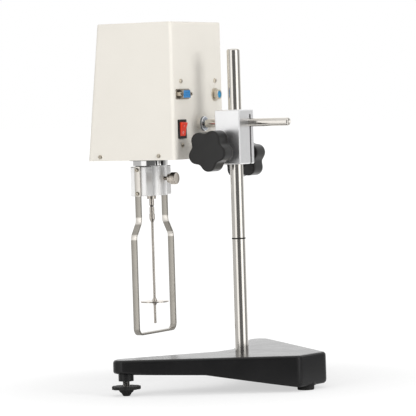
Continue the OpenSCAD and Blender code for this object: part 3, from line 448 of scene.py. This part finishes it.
def solder_mask():
    """Green circuit board with darker tracks under the lacquer."""
    f = Finish("solder_mask")
    x, y, _ = f.parts(f.place())
    along_y = abs((x * 400).maths("SINE")).rise(0.80, 0.95)
    along_x = abs((y * 310).maths("SINE")).rise(0.86, 0.97)
    colour = f.mix(along_y.most(along_x), (0.014, 0.085, 0.035), (0.03, 0.17, 0.07))
    return f.surface(Base_Color=colour, Roughness=0.3 + 0.1 * f.noise(0.004))


def clear_window():
    """Tinted acrylic over a dark mask, with the display's unlit grey-green glass in its middle."""
    f = Finish("clear_window")
    smear = f.noise(0.01, 2.0)
    low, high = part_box("display_window")
    x, _, z = f.about((low, high))
    half_w, half_h, edge = 0.42 * (high[0] - low[0]), 0.33 * (high[2] - low[2]), 0.15 * MM
    glass = x.between(-half_w, half_w, edge) * z.between(-half_h, half_h, edge)
    mask = f.mix(smear, (0.022, 0.026, 0.030), (0.030, 0.035, 0.040))
    panel = f.mix(smear, (0.115, 0.150, 0.105), (0.140, 0.180, 0.125))
    return f.surface(Base_Color=f.mix(glass, mask, panel), Roughness=0.08 + 0.05 * smear,
                     Specular_IOR_Level=0.5)


def spirit_vial():
    """Pale green spirit under a clear lid, with its ring mark and the bubble resting in it."""
    f = Finish("spirit_vial")
    haze = f.noise(0.004, 2.0)
    x, y, _ = f.about(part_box("level_vial"))
    away = distance(x, y)
    spirit = f.mix(haze, (0.42, 0.58, 0.12), (0.55, 0.70, 0.20))
    bubble = 1 - away.rise(2.6 * MM, 2.9 * MM)
    bubble_edge = away.between(2.7 * MM, 3.1 * MM, 0.1 * MM)
    line = bubble_edge.most(away.between(4.2 * MM, 4.6 * MM, 0.1 * MM))
    colour = f.mix(line, f.mix(bubble, spirit, (0.74, 0.84, 0.50)), (0.03, 0.05, 0.02))
    return f.surface(Base_Color=colour, Roughness=0.06 + 0.04 * haze, Coat_Weight=1.0)


def white_ink():
    """Screen-printed white ink."""
    f = Finish("white_ink")
    wear = f.noise(0.0004, 3.0)
    return f.surface(Base_Color=f.mix(wear, (0.62, 0.60, 0.57), (0.80, 0.79, 0.77)), Roughness=0.5)


def dark_ink():
    """Screen-printed dark blue ink."""
    f = Finish("dark_ink")
    wear = f.noise(0.0004, 3.0)
    return f.surface(Base_Color=f.mix(wear, (0.012, 0.018, 0.032), (0.030, 0.040, 0.060)),
                     Roughness=0.45)


def dress():
    """Makes every finish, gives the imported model's nodes theirs, and returns them all. A finish
    goes by its row's name or by its function's."""
    makers = [ivory_paint, black_enamel, black_moulding, rubber, bead_blasted, turned_aluminium,
              chrome_bush, bent_strip, shaft_steel, rolled_thread, printed_film, solder_mask,
              clear_window, spirit_vial, white_ink, dark_ink]
    made = {maker.__name__: maker() for maker in makers}
    made |= {name: worked_metal(name, *row) for name, row in METALS.items()}
    made |= {name: gloss_plastic(name, *row) for name, row in PLASTICS.items()}
    for name, nodes in COVERS.items():
        for node in nodes:
            mesh = NODES[node].data
            mesh.materials.clear()
            mesh.materials.append(made[name])
    return made


# ---------------------------------------------------------------------- studio

# The viewpoint: a long lens a little above the head's foot, off the head's rear corner
COLUMN_LOW, COLUMN_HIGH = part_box("column")
VIEW_HEIGHT = 0.220
VIEW_TARGET = Vector(((COLUMN_LOW[0] + COLUMN_HIGH[0]) / 2, (COLUMN_LOW[1] + COLUMN_HIGH[1]) / 2,
                      VIEW_HEIGHT))
VIEW_TURN = math.radians(118.7)
VIEW_LIFT = math.radians(2.2)
VIEW_ROLL = math.radians(-1.68)
VIEW_DISTANCE = 3.240
SENSOR = 36.0
# The lens's focal length and the view's shift, in widths of the frame
LENS_IN_FRAMES = 2700 / 416
SHIFT = (-0.0714, -0.0102)


def camera():
    """A long lens, turned and lifted about the column, with a small shift for the framing."""
    back = Vector((math.sin(VIEW_TURN) * math.cos(VIEW_LIFT),
                   -math.cos(VIEW_TURN) * math.cos(VIEW_LIFT), math.sin(VIEW_LIFT)))
    level = Vector((math.cos(VIEW_TURN), math.sin(VIEW_TURN), 0))
    upright = back.cross(level)
    right = level * math.cos(VIEW_ROLL) + upright * math.sin(VIEW_ROLL)
    up = upright * math.cos(VIEW_ROLL) - level * math.sin(VIEW_ROLL)
    data = bpy.data.cameras.new("camera")
    data.sensor_width = SENSOR
    data.lens = SENSOR * LENS_IN_FRAMES
    data.shift_x, data.shift_y = SHIFT
    data.clip_start, data.clip_end = 0.1, 40.0
    made = bpy.data.objects.new("camera", data)
    bpy.context.scene.collection.objects.link(made)
    made.matrix_world = Matrix.Translation(VIEW_TARGET + back * VIEW_DISTANCE) @ Matrix(
        (right, up, back)).transposed().to_4x4()
    bpy.context.scene.camera = made


def towards(turn, lift):
    """Unit vector at an angle from +Y towards +X, lifted above the floor, in degrees."""
    a, e = math.radians(turn), math.radians(lift)
    return Vector((math.sin(a) * math.cos(e), math.cos(a) * math.cos(e), math.sin(e)))


def lamp(name, turn, lift, reach, size, power):
    """A soft box that faces the middle of the object. Metal mirrors the studio walls instead."""
    data = bpy.data.lights.new(name, "AREA")
    data.shape = "RECTANGLE"
    data.size, data.size_y = size
    data.energy = power
    made = bpy.data.objects.new(name, data)
    bpy.context.scene.collection.objects.link(made)
    made.location = VIEW_TARGET + towards(turn, lift) * reach
    made.rotation_mode = "QUATERNION"
    made.rotation_quaternion = towards(turn, lift).to_track_quat("Z", "Y")
    made.visible_glossy = False
    made.visible_camera = False


# What polished metal sees round the object: a level of light by the angle from +Y towards +X
WALLS = [(-180, 0.62), (-152, 0.66), (-146, 1.35), (-92, 1.35), (-84, 0.82), (-57, 0.78),
         (-52, 0.36), (-14, 0.33), (-9, 1.60), (26, 1.60), (31, 0.17), (85, 0.15), (89, 1.32),
         (121, 1.32), (127, 0.64), (180, 0.62)]
BRIGHTEST_WALL = 1.60
CEILING = 0.95
CEILING_FROM, CEILING_TO = 38, 52
AMBIENT = 0.60

# The floor, by the distance from the middle in metres: where its sheet fades into white, and where
# polished metal sees it end
FADE_FROM, FADE_TO = 0.16, 0.42
MIRRORED_FROM, MIRRORED_TO = 0.24, 0.34
SHEET_WHITE = 0.52


def studio_walls():
    """The world: white behind the object, plain ambient light, and for reflections a studio of
    soft boxes and dark gaps set out by their angle round the object."""
    world = bpy.data.worlds.new("studio")
    bpy.context.scene.world = world
    f = Finish("studio", world)
    x, y, z = f.parts(f.node("TexCoord", output="Generated"))
    turn = x.maths("ARCTAN2", y) / (2 * math.pi) + 0.5
    lift = z.maths("ARCSINE") * (180 / math.pi)
    stops = [(0.5 + angle / 360, (level / BRIGHTEST_WALL,) * 3) for angle, level in WALLS]
    side = BRIGHTEST_WALL * f.node("ValToRGB", {"stops": stops}, [turn])
    ceiling = lift.rise(CEILING_FROM, CEILING_TO)
    mirrored = side * (1 - ceiling) + CEILING * ceiling
    glossy = f.rays("Is Glossy Ray")
    seen = f.rays("Is Camera Ray").most(f.rays("Is Transmission Ray"))
    level = glossy * mirrored + seen + (1 - glossy.most(seen)) * AMBIENT
    shade = f.node("Background", inputs={"Color": (1.0, 1.0, 1.0), "Strength": level})
    f.node("OutputWorld", inputs={"Surface": shade})


def floor():
    """A pale sheet that keeps the object's shadow and fades into the white behind it."""
    reach = 30.0
    mesh = bpy.data.meshes.new("floor")
    corners = [(-reach, -reach, 0), (reach, -reach, 0), (reach, reach, 0), (-reach, reach, 0)]
    mesh.from_pydata(corners, [], [(0, 1, 2, 3)])
    made = bpy.data.objects.new("floor", mesh)
    bpy.context.scene.collection.objects.link(made)
    f = Finish("floor")
    x, y, _ = f.parts(f.place())
    away = distance(x, y)
    far = away.rise(FADE_FROM, FADE_TO)
    paper = f.node("BsdfDiffuse", inputs={"Color": (0.88, 0.88, 0.88)})
    white = f.node("Emission", inputs={"Color": (1.0, 1.0, 1.0), "Strength": 1.10})
    seen = f.rays("Is Camera Ray").most(f.rays("Is Transmission Ray"))
    share = seen * (SHEET_WHITE + (1 - SHEET_WHITE) * far)
    blend = f.node("MixShader", inputs=[share, paper, white])
    table_end = f.rays("Is Glossy Ray") * away.rise(MIRRORED_FROM, MIRRORED_TO)
    clear = f.node("BsdfTransparent")
    ended = f.node("MixShader", inputs=[table_end, blend, clear])
    f.node("OutputMaterial", inputs={"Surface": ended})
    mesh.materials.append(f.made)


def studio():
    """The camera, the floor, what metal mirrors, and three soft boxes."""
    bpy.context.scene.view_settings.view_transform = "Standard"
    camera()
    floor()
    studio_walls()
    lamp("key_box", 17, 15, 1.5, (0.45, 0.6), 9.0)
    lamp("left_box", 101, 14, 1.5, (0.7, 0.7), 5.6)
    lamp("top_box", 45, 78, 1.4, (0.9, 0.9), 3.5)


# ------------------------------------------------------------------- pieces

def link(name, mesh, finish, body, angle=35):
    """Puts a finished mesh in the scene, shades it smooth up to an angle and rides it on a body."""
    mesh.update()
    mesh.materials.append(finish)
    mesh.shade_smooth()
    mesh.set_sharp_from_angle(angle=math.radians(angle))
    made = bpy.data.objects.new(name, mesh)
    bpy.context.scene.collection.objects.link(made)
    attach(made, body)
    return made


def grid_mesh(name, points, round_u=False, round_v=False):
    """A mesh of four-sided faces from an array of points[u, v], closed along u or v where asked."""
    nu, nv, _ = points.shape
    u = np.arange(nu if round_u else nu - 1)
    v = np.arange(nv if round_v else nv - 1)
    a, b = np.meshgrid(u, v, indexing="ij")
    c, d = (a + 1) % nu, (b + 1) % nv
    faces = np.stack([a * nv + b, c * nv + b, c * nv + d, a * nv + d], -1).reshape(-1, 4)
    mesh = bpy.data.meshes.new(name)
    mesh.from_pydata(points.reshape(-1, 3).tolist(), [], faces.tolist())
    return mesh


def weld(made, mesh):
    """Joins points that meet, turns every face outwards and writes the result into mesh."""
    bmesh.ops.remove_doubles(made, verts=made.verts, dist=1e-7)
    bmesh.ops.recalc_face_normals(made, faces=made.faces)
    made.to_mesh(mesh)
    made.free()
    return mesh


def close_poles(mesh):
    """Closes the rings of a mesh that shrink to one point."""
    made = bmesh.new()
    made.from_mesh(mesh)
    return weld(made, mesh)


def quarter(depth, inset, radius, start):
    """A rounded corner as (depth, inset) steps: a quarter circle about (depth, inset)."""
    angles = np.radians(np.linspace(start, start + 90, 6))
    return [(depth + radius * math.sin(a), inset - radius * math.cos(a)) for a in angles]


# The knobs: their lobes, how deep these go and how round they are as shares of the radius, and the
# hub on their underside
LOBES = 5
LOBE_SHARE = 0.105
LOBE_ROUND = 0.012
KNOB_R = 25.5 * MM
HUB_R = 11 * MM
HUB_T = 10 * MM
HUB_EDGE = 0.6 * MM


def lobed_knob(node, stud, side, phase, finish, body):
    """Star knob along X. Its outline's radius swings with the cosine of five turns, and a little
    of the cosine of ten turns makes the lobes rounder than the dips between them. The side wall
    stands on that outline, with small rounded edges and a faint crown on the face. The round hub
    fades into the grip's underside through a fillet."""
    low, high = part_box(node)
    stud_low, stud_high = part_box(stud)
    centre = [(stud_low[i] + stud_high[i]) / 2 for i in (1, 2)]
    start = low[0] if side > 0 else high[0]
    depth = high[0] - low[0]
    rim, lip, fillet, crown = 1.9 * MM, 1.2 * MM, 2.0 * MM, 0.5 * MM
    wall = depth - crown
    angle = np.linspace(0, 2 * np.pi, 240, endpoint=False)
    turn = LOBES * (angle - math.radians(phase))
    swing = LOBE_SHARE * np.cos(turn) + LOBE_ROUND * (1 - np.cos(2 * turn))
    outline = KNOB_R * (1 - LOBE_SHARE + swing)
    hub = np.full_like(outline, HUB_R)
    rings = [(0.0, hub * 0), (0.0, hub * 0.5), (0.0, hub - HUB_EDGE), (HUB_EDGE, hub)]
    for step in np.linspace(0, math.pi / 2, 6):
        rings.append((HUB_T - fillet * (1 - math.sin(step)), hub + fillet * (1 - math.cos(step))))
    rings.append((HUB_T, 0.5 * (hub + outline)))
    rings += [(d, outline - inset) for d, inset in quarter(HUB_T + lip, lip, lip, -90)]
    rings += [(HUB_T + share * (wall - HUB_T), outline) for share in (0.2, 0.4, 0.6, 0.8)]
    rings += [(d, outline - inset) for d, inset in quarter(wall - rim, rim, rim, 0)]
    face = outline - rim
    rings += [(wall + crown * (1 - share ** 2), face * share)
              for share in (0.97, 0.85, 0.65, 0.45, 0.25, 0.1, 0.0)]
    points = [np.stack([np.full_like(radius, start + side * d), centre[0] + radius * np.cos(angle),
                        centre[1] + radius * np.sin(angle)], -1) for d, radius in rings]
    mesh = close_poles(grid_mesh(node + "_grip", np.array(points), round_v=True))
    made = link(node + "_grip", mesh, finish, body, 50)
    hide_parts(node)


def turned_ring(start, end, radius, edge):
    """(place, radius) steps of a turned collar with both edges rounded."""
    steps = [(edge * (1 - math.sin(a)), radius - edge * (1 - math.cos(a)))
             for a in np.radians(np.linspace(0, 90, 5))]
    first = [(start + inset, r) for inset, r in steps[::-1]]
    return first + [(end - inset, r) for inset, r in steps]


def thumb_screw(finish):
    """Knurled thumb screw along Y: a threaded shank whose radius goes in and out with its pitch,
    a collar, a waist and a head whose wall is rippled by the cosine of 44 turns and whose end is
    dished."""
    low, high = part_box("thumb_screw")
    x, z = (low[0] + high[0]) / 2, (low[2] + high[2]) / 2
    head_r, ridges, ridge = (high[0] - low[0]) / 2 - 0.05 * MM, 44, 0.16 * MM
    head_end, head_start = high[1], high[1] - 7.0 * MM
    collar_start, collar_t, collar_r = head_start - 4.6 * MM, 3.6 * MM, 5.6 * MM
    waist_r = 4.9 * MM
    shank_r, pitch, root = 2.35 * MM, 0.7 * MM, 0.3 * MM
    rings = [(low[1], 0.0), (low[1], 0.8 * shank_r)]
    place = np.arange(low[1] + 0.5 * MM, collar_start, pitch / 2)
    rings += [(y, shank_r - (root if i % 2 else 0.0)) for i, y in enumerate(place)]
    rings += turned_ring(collar_start, collar_start + collar_t, collar_r, 0.5 * MM)
    rings += [(collar_start + collar_t + 0.2 * MM, waist_r), (head_start, waist_r)]
    knurled = range(len(rings) + 4, len(rings) + 6)
    rings += turned_ring(head_start, head_end, head_r, 0.6 * MM)
    rings += [(head_end - dip * MM, share * head_r)
              for share, dip in ((0.84, 0.0), (0.80, 0.12), (0.4, 0.2), (0.0, 0.2))]
    angle = np.linspace(0, 2 * np.pi, ridges * 6, endpoint=False)
    ripple = ridge * 0.5 * (1 + np.cos(ridges * angle))
    points = []
    for index, (y, radius) in enumerate(rings):
        r = radius - ripple * (index in knurled)
        points.append(np.stack([x + r * np.cos(angle), np.full_like(r, y),
                                z + r * np.sin(angle)], -1))
    mesh = close_poles(grid_mesh("thumb_screw_turned", np.array(points), round_v=True))
    made = link("thumb_screw_turned", mesh, finish, "thumb_screw", 40)
    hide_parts("thumb_screw")


def unit(vector):
    """The vector at length 1."""
    return vector / np.linalg.norm(vector)


def rounded_path(corners, radii, step=math.radians(4)):
    """The path through corners with each inner corner turned on an arc of its own radius."""
    corners = [np.array(corner, float) for corner in corners]
    points = [corners[0]]
    for before, corner, after, radius in zip(corners, corners[1:], corners[2:], radii):
        come, leave = unit(corner - before), unit(after - corner)
        turn = math.acos(float(come @ leave))
        inward, across = unit(leave - come), unit(come + leave)
        centre = corner + inward * radius / math.cos(turn / 2)
        for angle in np.linspace(-turn / 2, turn / 2, max(3, int(turn / step))):
            points.append(centre - inward * radius * math.cos(angle)
                          + across * radius * math.sin(angle))
    return np.array(points + [corners[-1]])


def bent_guard(finish):
    """One strip bent to the guard's shape: an outward jog in each leg and a foot across, each bend
    on its own radius, and the strip's edges rolled round."""
    low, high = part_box("guard")
    holder_low, holder_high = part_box("guard_holder")
    middle, half_w = (low[0] + high[0]) / 2, (high[1] - low[1]) / 2
    y = (low[1] + high[1]) / 2
    inner = (holder_high[0] - holder_low[0]) / 2 + STRIP_T / 2
    outer = (high[0] - low[0]) / 2 - STRIP_T / 2
    jog = holder_low[2] - JOG_BELOW
    leg = [(inner, high[2]), (inner, jog), (outer, jog - JOG_H), (outer, low[2] + STRIP_T / 2)]
    corners = leg + [(-x, z) for x, z in leg[::-1]]
    path = rounded_path(corners, [JOG_R, JOG_R, FOOT_R, FOOT_R, JOG_R, JOG_R])
    ahead = np.gradient(path, axis=0)
    ahead /= np.linalg.norm(ahead, axis=1)[:, None]
    outward = np.stack([-ahead[:, 1], ahead[:, 0]], -1)
    edge = 0.45 * MM
    section = [(sa * (STRIP_T / 2 - edge) + edge * math.cos(a),
                sb * (half_w - edge) + edge * math.sin(a))
               for sa, sb, start in ((1, 1, 0), (-1, 1, 90), (-1, -1, 180), (1, -1, 270))
               for a in np.radians(start + np.array([0, 30, 60, 90]))]
    rings = [[(middle + x + a * out[0], y + b, z + a * out[1]) for a, b in section]
             for (x, z), out in zip(path, outward)]
    ends = [[(middle + x, y, z)] * len(section) for x, z in (path[0], path[-1])]
    mesh = close_poles(grid_mesh("guard_strip", np.array([ends[0], *rings, ends[1]]), round_v=True))
    made = link("guard_strip", mesh, finish, "guard", 40)
    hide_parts("guard")


# The data socket's sleeve: its wall, its gap round the insert, its lip, and how far each side of
# its D leans in
SLEEVE_T = 0.55 * MM
SLEEVE_GAP = 0.03 * MM
SLEEVE_LIP = 0.2 * MM
DEE_TAPER = 0.9 * MM


def data_socket_sleeve(finish):
    """Plated sleeve round the data socket's insert: its D-shaped outline, with rounded corners,
    drawn out along Y as an outer wall, a lip and an inner wall."""
    low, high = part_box("dsub_insert")
    middle, front = (low[0] + high[0]) / 2, high[1] + 0.3 * MM
    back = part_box("dsub_shell")[1][1] - 1.0 * MM
    rings = []
    for y, grow, radius in ((back, SLEEVE_T, 0.9), (front - SLEEVE_LIP, SLEEVE_T, 0.9),
                            (front, SLEEVE_T - SLEEVE_LIP, 0.7), (front, SLEEVE_GAP, 0.05),
                            (back, SLEEVE_GAP, 0.05), (back, SLEEVE_T, 0.9)):
        half = (high[0] - low[0]) / 2 + grow
        top, bottom = high[2] + grow, low[2] - grow
        corners = [(0, top), (half - DEE_TAPER, top), (half, bottom), (-half, bottom),
                   (-half + DEE_TAPER, top), (0, top)]
        loop = rounded_path(corners, [radius * MM] * 4, math.radians(20))[:-1]
        rings.append(np.stack([middle + loop[:, 0], np.full(len(loop), y), loop[:, 1]], -1))
    mesh = close_poles(grid_mesh("data_socket_sleeve", np.array(rings), round_v=True))
    link("data_socket_sleeve", mesh, finish, "head")


def ink_stroke(path, across, half_width, lift, closed=False):
    """Points of a flat printed line: a rounded ribbon along path, lift thick along the surface's
    normal (across), whose ends shrink to a point."""
    path = np.array(path, float)
    if closed:
        ahead = np.roll(path, -1, 0) - np.roll(path, 1, 0)
    else:
        ahead = np.gradient(path, axis=0)
    ahead /= np.linalg.norm(ahead, axis=1)[:, None]
    side = np.cross(ahead, across)
    ribbon = [path + side * half_width * a + np.array(across) * lift * b
              for a, b in ((-1, 0), (-0.9, 1), (0.9, 1), (1, 0))]
    points = np.stack(ribbon, 1)
    if not closed:
        ends = [np.repeat(end[:, None], 4, 1) for end in (path[:1], path[-1:])]
        points = np.concatenate([ends[0], points, ends[1]])
    return points


def ink(name, strokes, finish, body):
    """One piece from several strokes, each with whether it runs round into itself."""
    made = bmesh.new()
    for points, closed in strokes:
        part = grid_mesh(name, points, round_u=closed, round_v=True)
        made.from_mesh(part)
        bpy.data.meshes.remove(part)
    link(name, weld(made, bpy.data.meshes.new(name)), finish, body)


# In millimetres: the corners of the rocker's two outer faces as (out, up) from its pivot, the
# pivot's place out from the cover, and how high the marks stand, how far they reach each way, half
# their line's width and their ink's thickness
ROCKER_LOW, ROCKER_MID, ROCKER_HIGH = (0.8, -9.0), (2.0, 0.0), (5.1, 9.0)
ROCKER_PIVOT = 1.0
ON_UP, OFF_UP, MARK_R, MARK_HALF_LINE, MARK_INK_T = 3.6, -4.2, 1.3, 0.25, 0.05


def rocker_marks(finish):
    """A bar and a ring for on and off, printed on the rocker's upper and lower faces."""
    low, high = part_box("switch_rocker")
    x, z = (low[0] + high[0]) / 2, (low[2] + high[2]) / 2
    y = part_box("housing")[1][1] + ROCKER_PIVOT * MM
    right = np.array([1, 0, 0])
    strokes = []
    for first, last, up in ((ROCKER_MID, ROCKER_HIGH, ON_UP), (ROCKER_LOW, ROCKER_MID, OFF_UP)):
        run = unit(np.array([last[0] - first[0], last[1] - first[1]]))
        along, out = np.array([0, run[0], run[1]]), np.array([0, run[1], -run[0]])
        share = (up - first[1]) / (last[1] - first[1])
        middle = np.array([x, y + (first[0] + share * (last[0] - first[0])) * MM, z + up * MM])
        ring = up == OFF_UP
        if ring:
            path = [middle + MARK_R * MM * (math.cos(a) * along + math.sin(a) * right)
                    for a in np.linspace(0, 2 * np.pi, 32, endpoint=False)]
        else:
            path = [middle + along * step * MM for step in np.linspace(-MARK_R, MARK_R, 5)]
        strokes.append((ink_stroke(path, out, MARK_HALF_LINE * MM, MARK_INK_T * MM, ring), ring))
    ink("rocker_marks", strokes, finish, "switch_rocker")


# Plain figures as one stroke each, as (across, up) in a box 1 wide and 2 high
FIGURES = {
    "0": [(0, 2), (1, 2), (1, 0), (0, 0), (0, 2), (1, 2)],
    "1": [(0.2, 1.6), (0.6, 2), (0.6, 0)],
    "2": [(0, 1.7), (0.1, 2), (1, 2), (1, 1.1), (0, 0), (1, 0)],
    "3": [(0, 2), (1, 2), (0.4, 1.1), (1, 1.1), (1, 0), (0, 0)],
    "4": [(0.75, 0), (0.75, 2), (0, 0.6), (1, 0.6)],
    "5": [(1, 2), (0, 2), (0, 1.1), (1, 1.1), (1, 0), (0, 0)],
    "6": [(0.9, 2), (0, 1.4), (0, 0), (1, 0), (1, 1.1), (0, 1.1)],
    "7": [(0, 2), (1, 2), (0.35, 0)],
    "8": [(0.5, 1.05), (0, 1.4), (0, 2), (1, 2), (1, 1.4), (0, 0.8), (0, 0), (1, 0), (1, 0.8),
          (0.5, 1.05)],
    "9": [(1, 1), (0, 1), (0, 2), (1, 2), (1, 0.6), (0.1, 0)],
    "up": [(0, 0.5), (0.5, 1.5), (1, 0.5), (0, 0.5), (0.5, 1.5)],
    "down": [(0, 1.5), (0.5, 0.5), (1, 1.5), (0, 1.5), (0.5, 0.5)],
}
KEYS = [["1", "2", "3", "0"], ["4", "5", "6", "down"], ["7", "8", "9", "up"]]
FIGURE_W, FIGURE_H, FIGURE_HALF_LINE, FIGURE_INK_T = 3.4 * MM, 6.0 * MM, 0.38 * MM, 0.04 * MM


def cut_corners(path):
    """The path with each corner cut off a quarter of the way along its sides, twice over."""
    path = np.array(path, float)
    for _ in range(2):
        near, far = 0.75 * path[:-1] + 0.25 * path[1:], 0.25 * path[:-1] + 0.75 * path[1:]
        path = np.concatenate([path[:1], np.stack([near, far], 1).reshape(-1, 2), path[-1:]])
    return path


def key_figures(finish):
    """Figures and two arrows printed on the keypad's domes, on the leaning front."""
    out = np.array([0, -math.cos(FRONT_LEAN), math.sin(FRONT_LEAN)])
    up = np.array([0, math.sin(FRONT_LEAN), math.cos(FRONT_LEAN)])
    right = np.array([1.0, 0, 0])
    skin = np.array([corner.co for corner in NODES["keypad"].data.vertices])
    heights = skin @ up
    middle = (right * (skin[:, 0].min() + skin[:, 0].max()) / 2
              + up * (heights.min() + heights.max()) / 2 + out * (skin @ out).max())
    strokes = []
    for row, names in enumerate(KEYS):
        for column, name in enumerate(names):
            at = (middle + (column - (KEY_COLUMNS - 1) / 2) * KEY_PITCH * right
                  + (row - (KEY_ROWS - 1) / 2) * KEY_PITCH * up)
            path = [at + (a - 0.5) * FIGURE_W * right + (b - 1) * FIGURE_H / 2 * up
                    for a, b in cut_corners(FIGURES[name])]
            strokes.append((ink_stroke(path, out, FIGURE_HALF_LINE, FIGURE_INK_T), False))
    ink("key_figures", strokes, finish, "head")


studio()
finishes = dress()
key_figures(finishes["dark_ink"])
lobed_knob("column_knob", "column_knob_stud", 1, -12, finishes["black_moulding"], "column_knob")
lobed_knob("rod_knob", "rod_knob_stud", -1, 24, finishes["black_moulding"], "rod_knob")
thumb_screw(finishes["nickel_turned"])
bent_guard(finishes["bent_strip"])
data_socket_sleeve(finishes["tin_shell"])
rocker_marks(finishes["white_ink"])
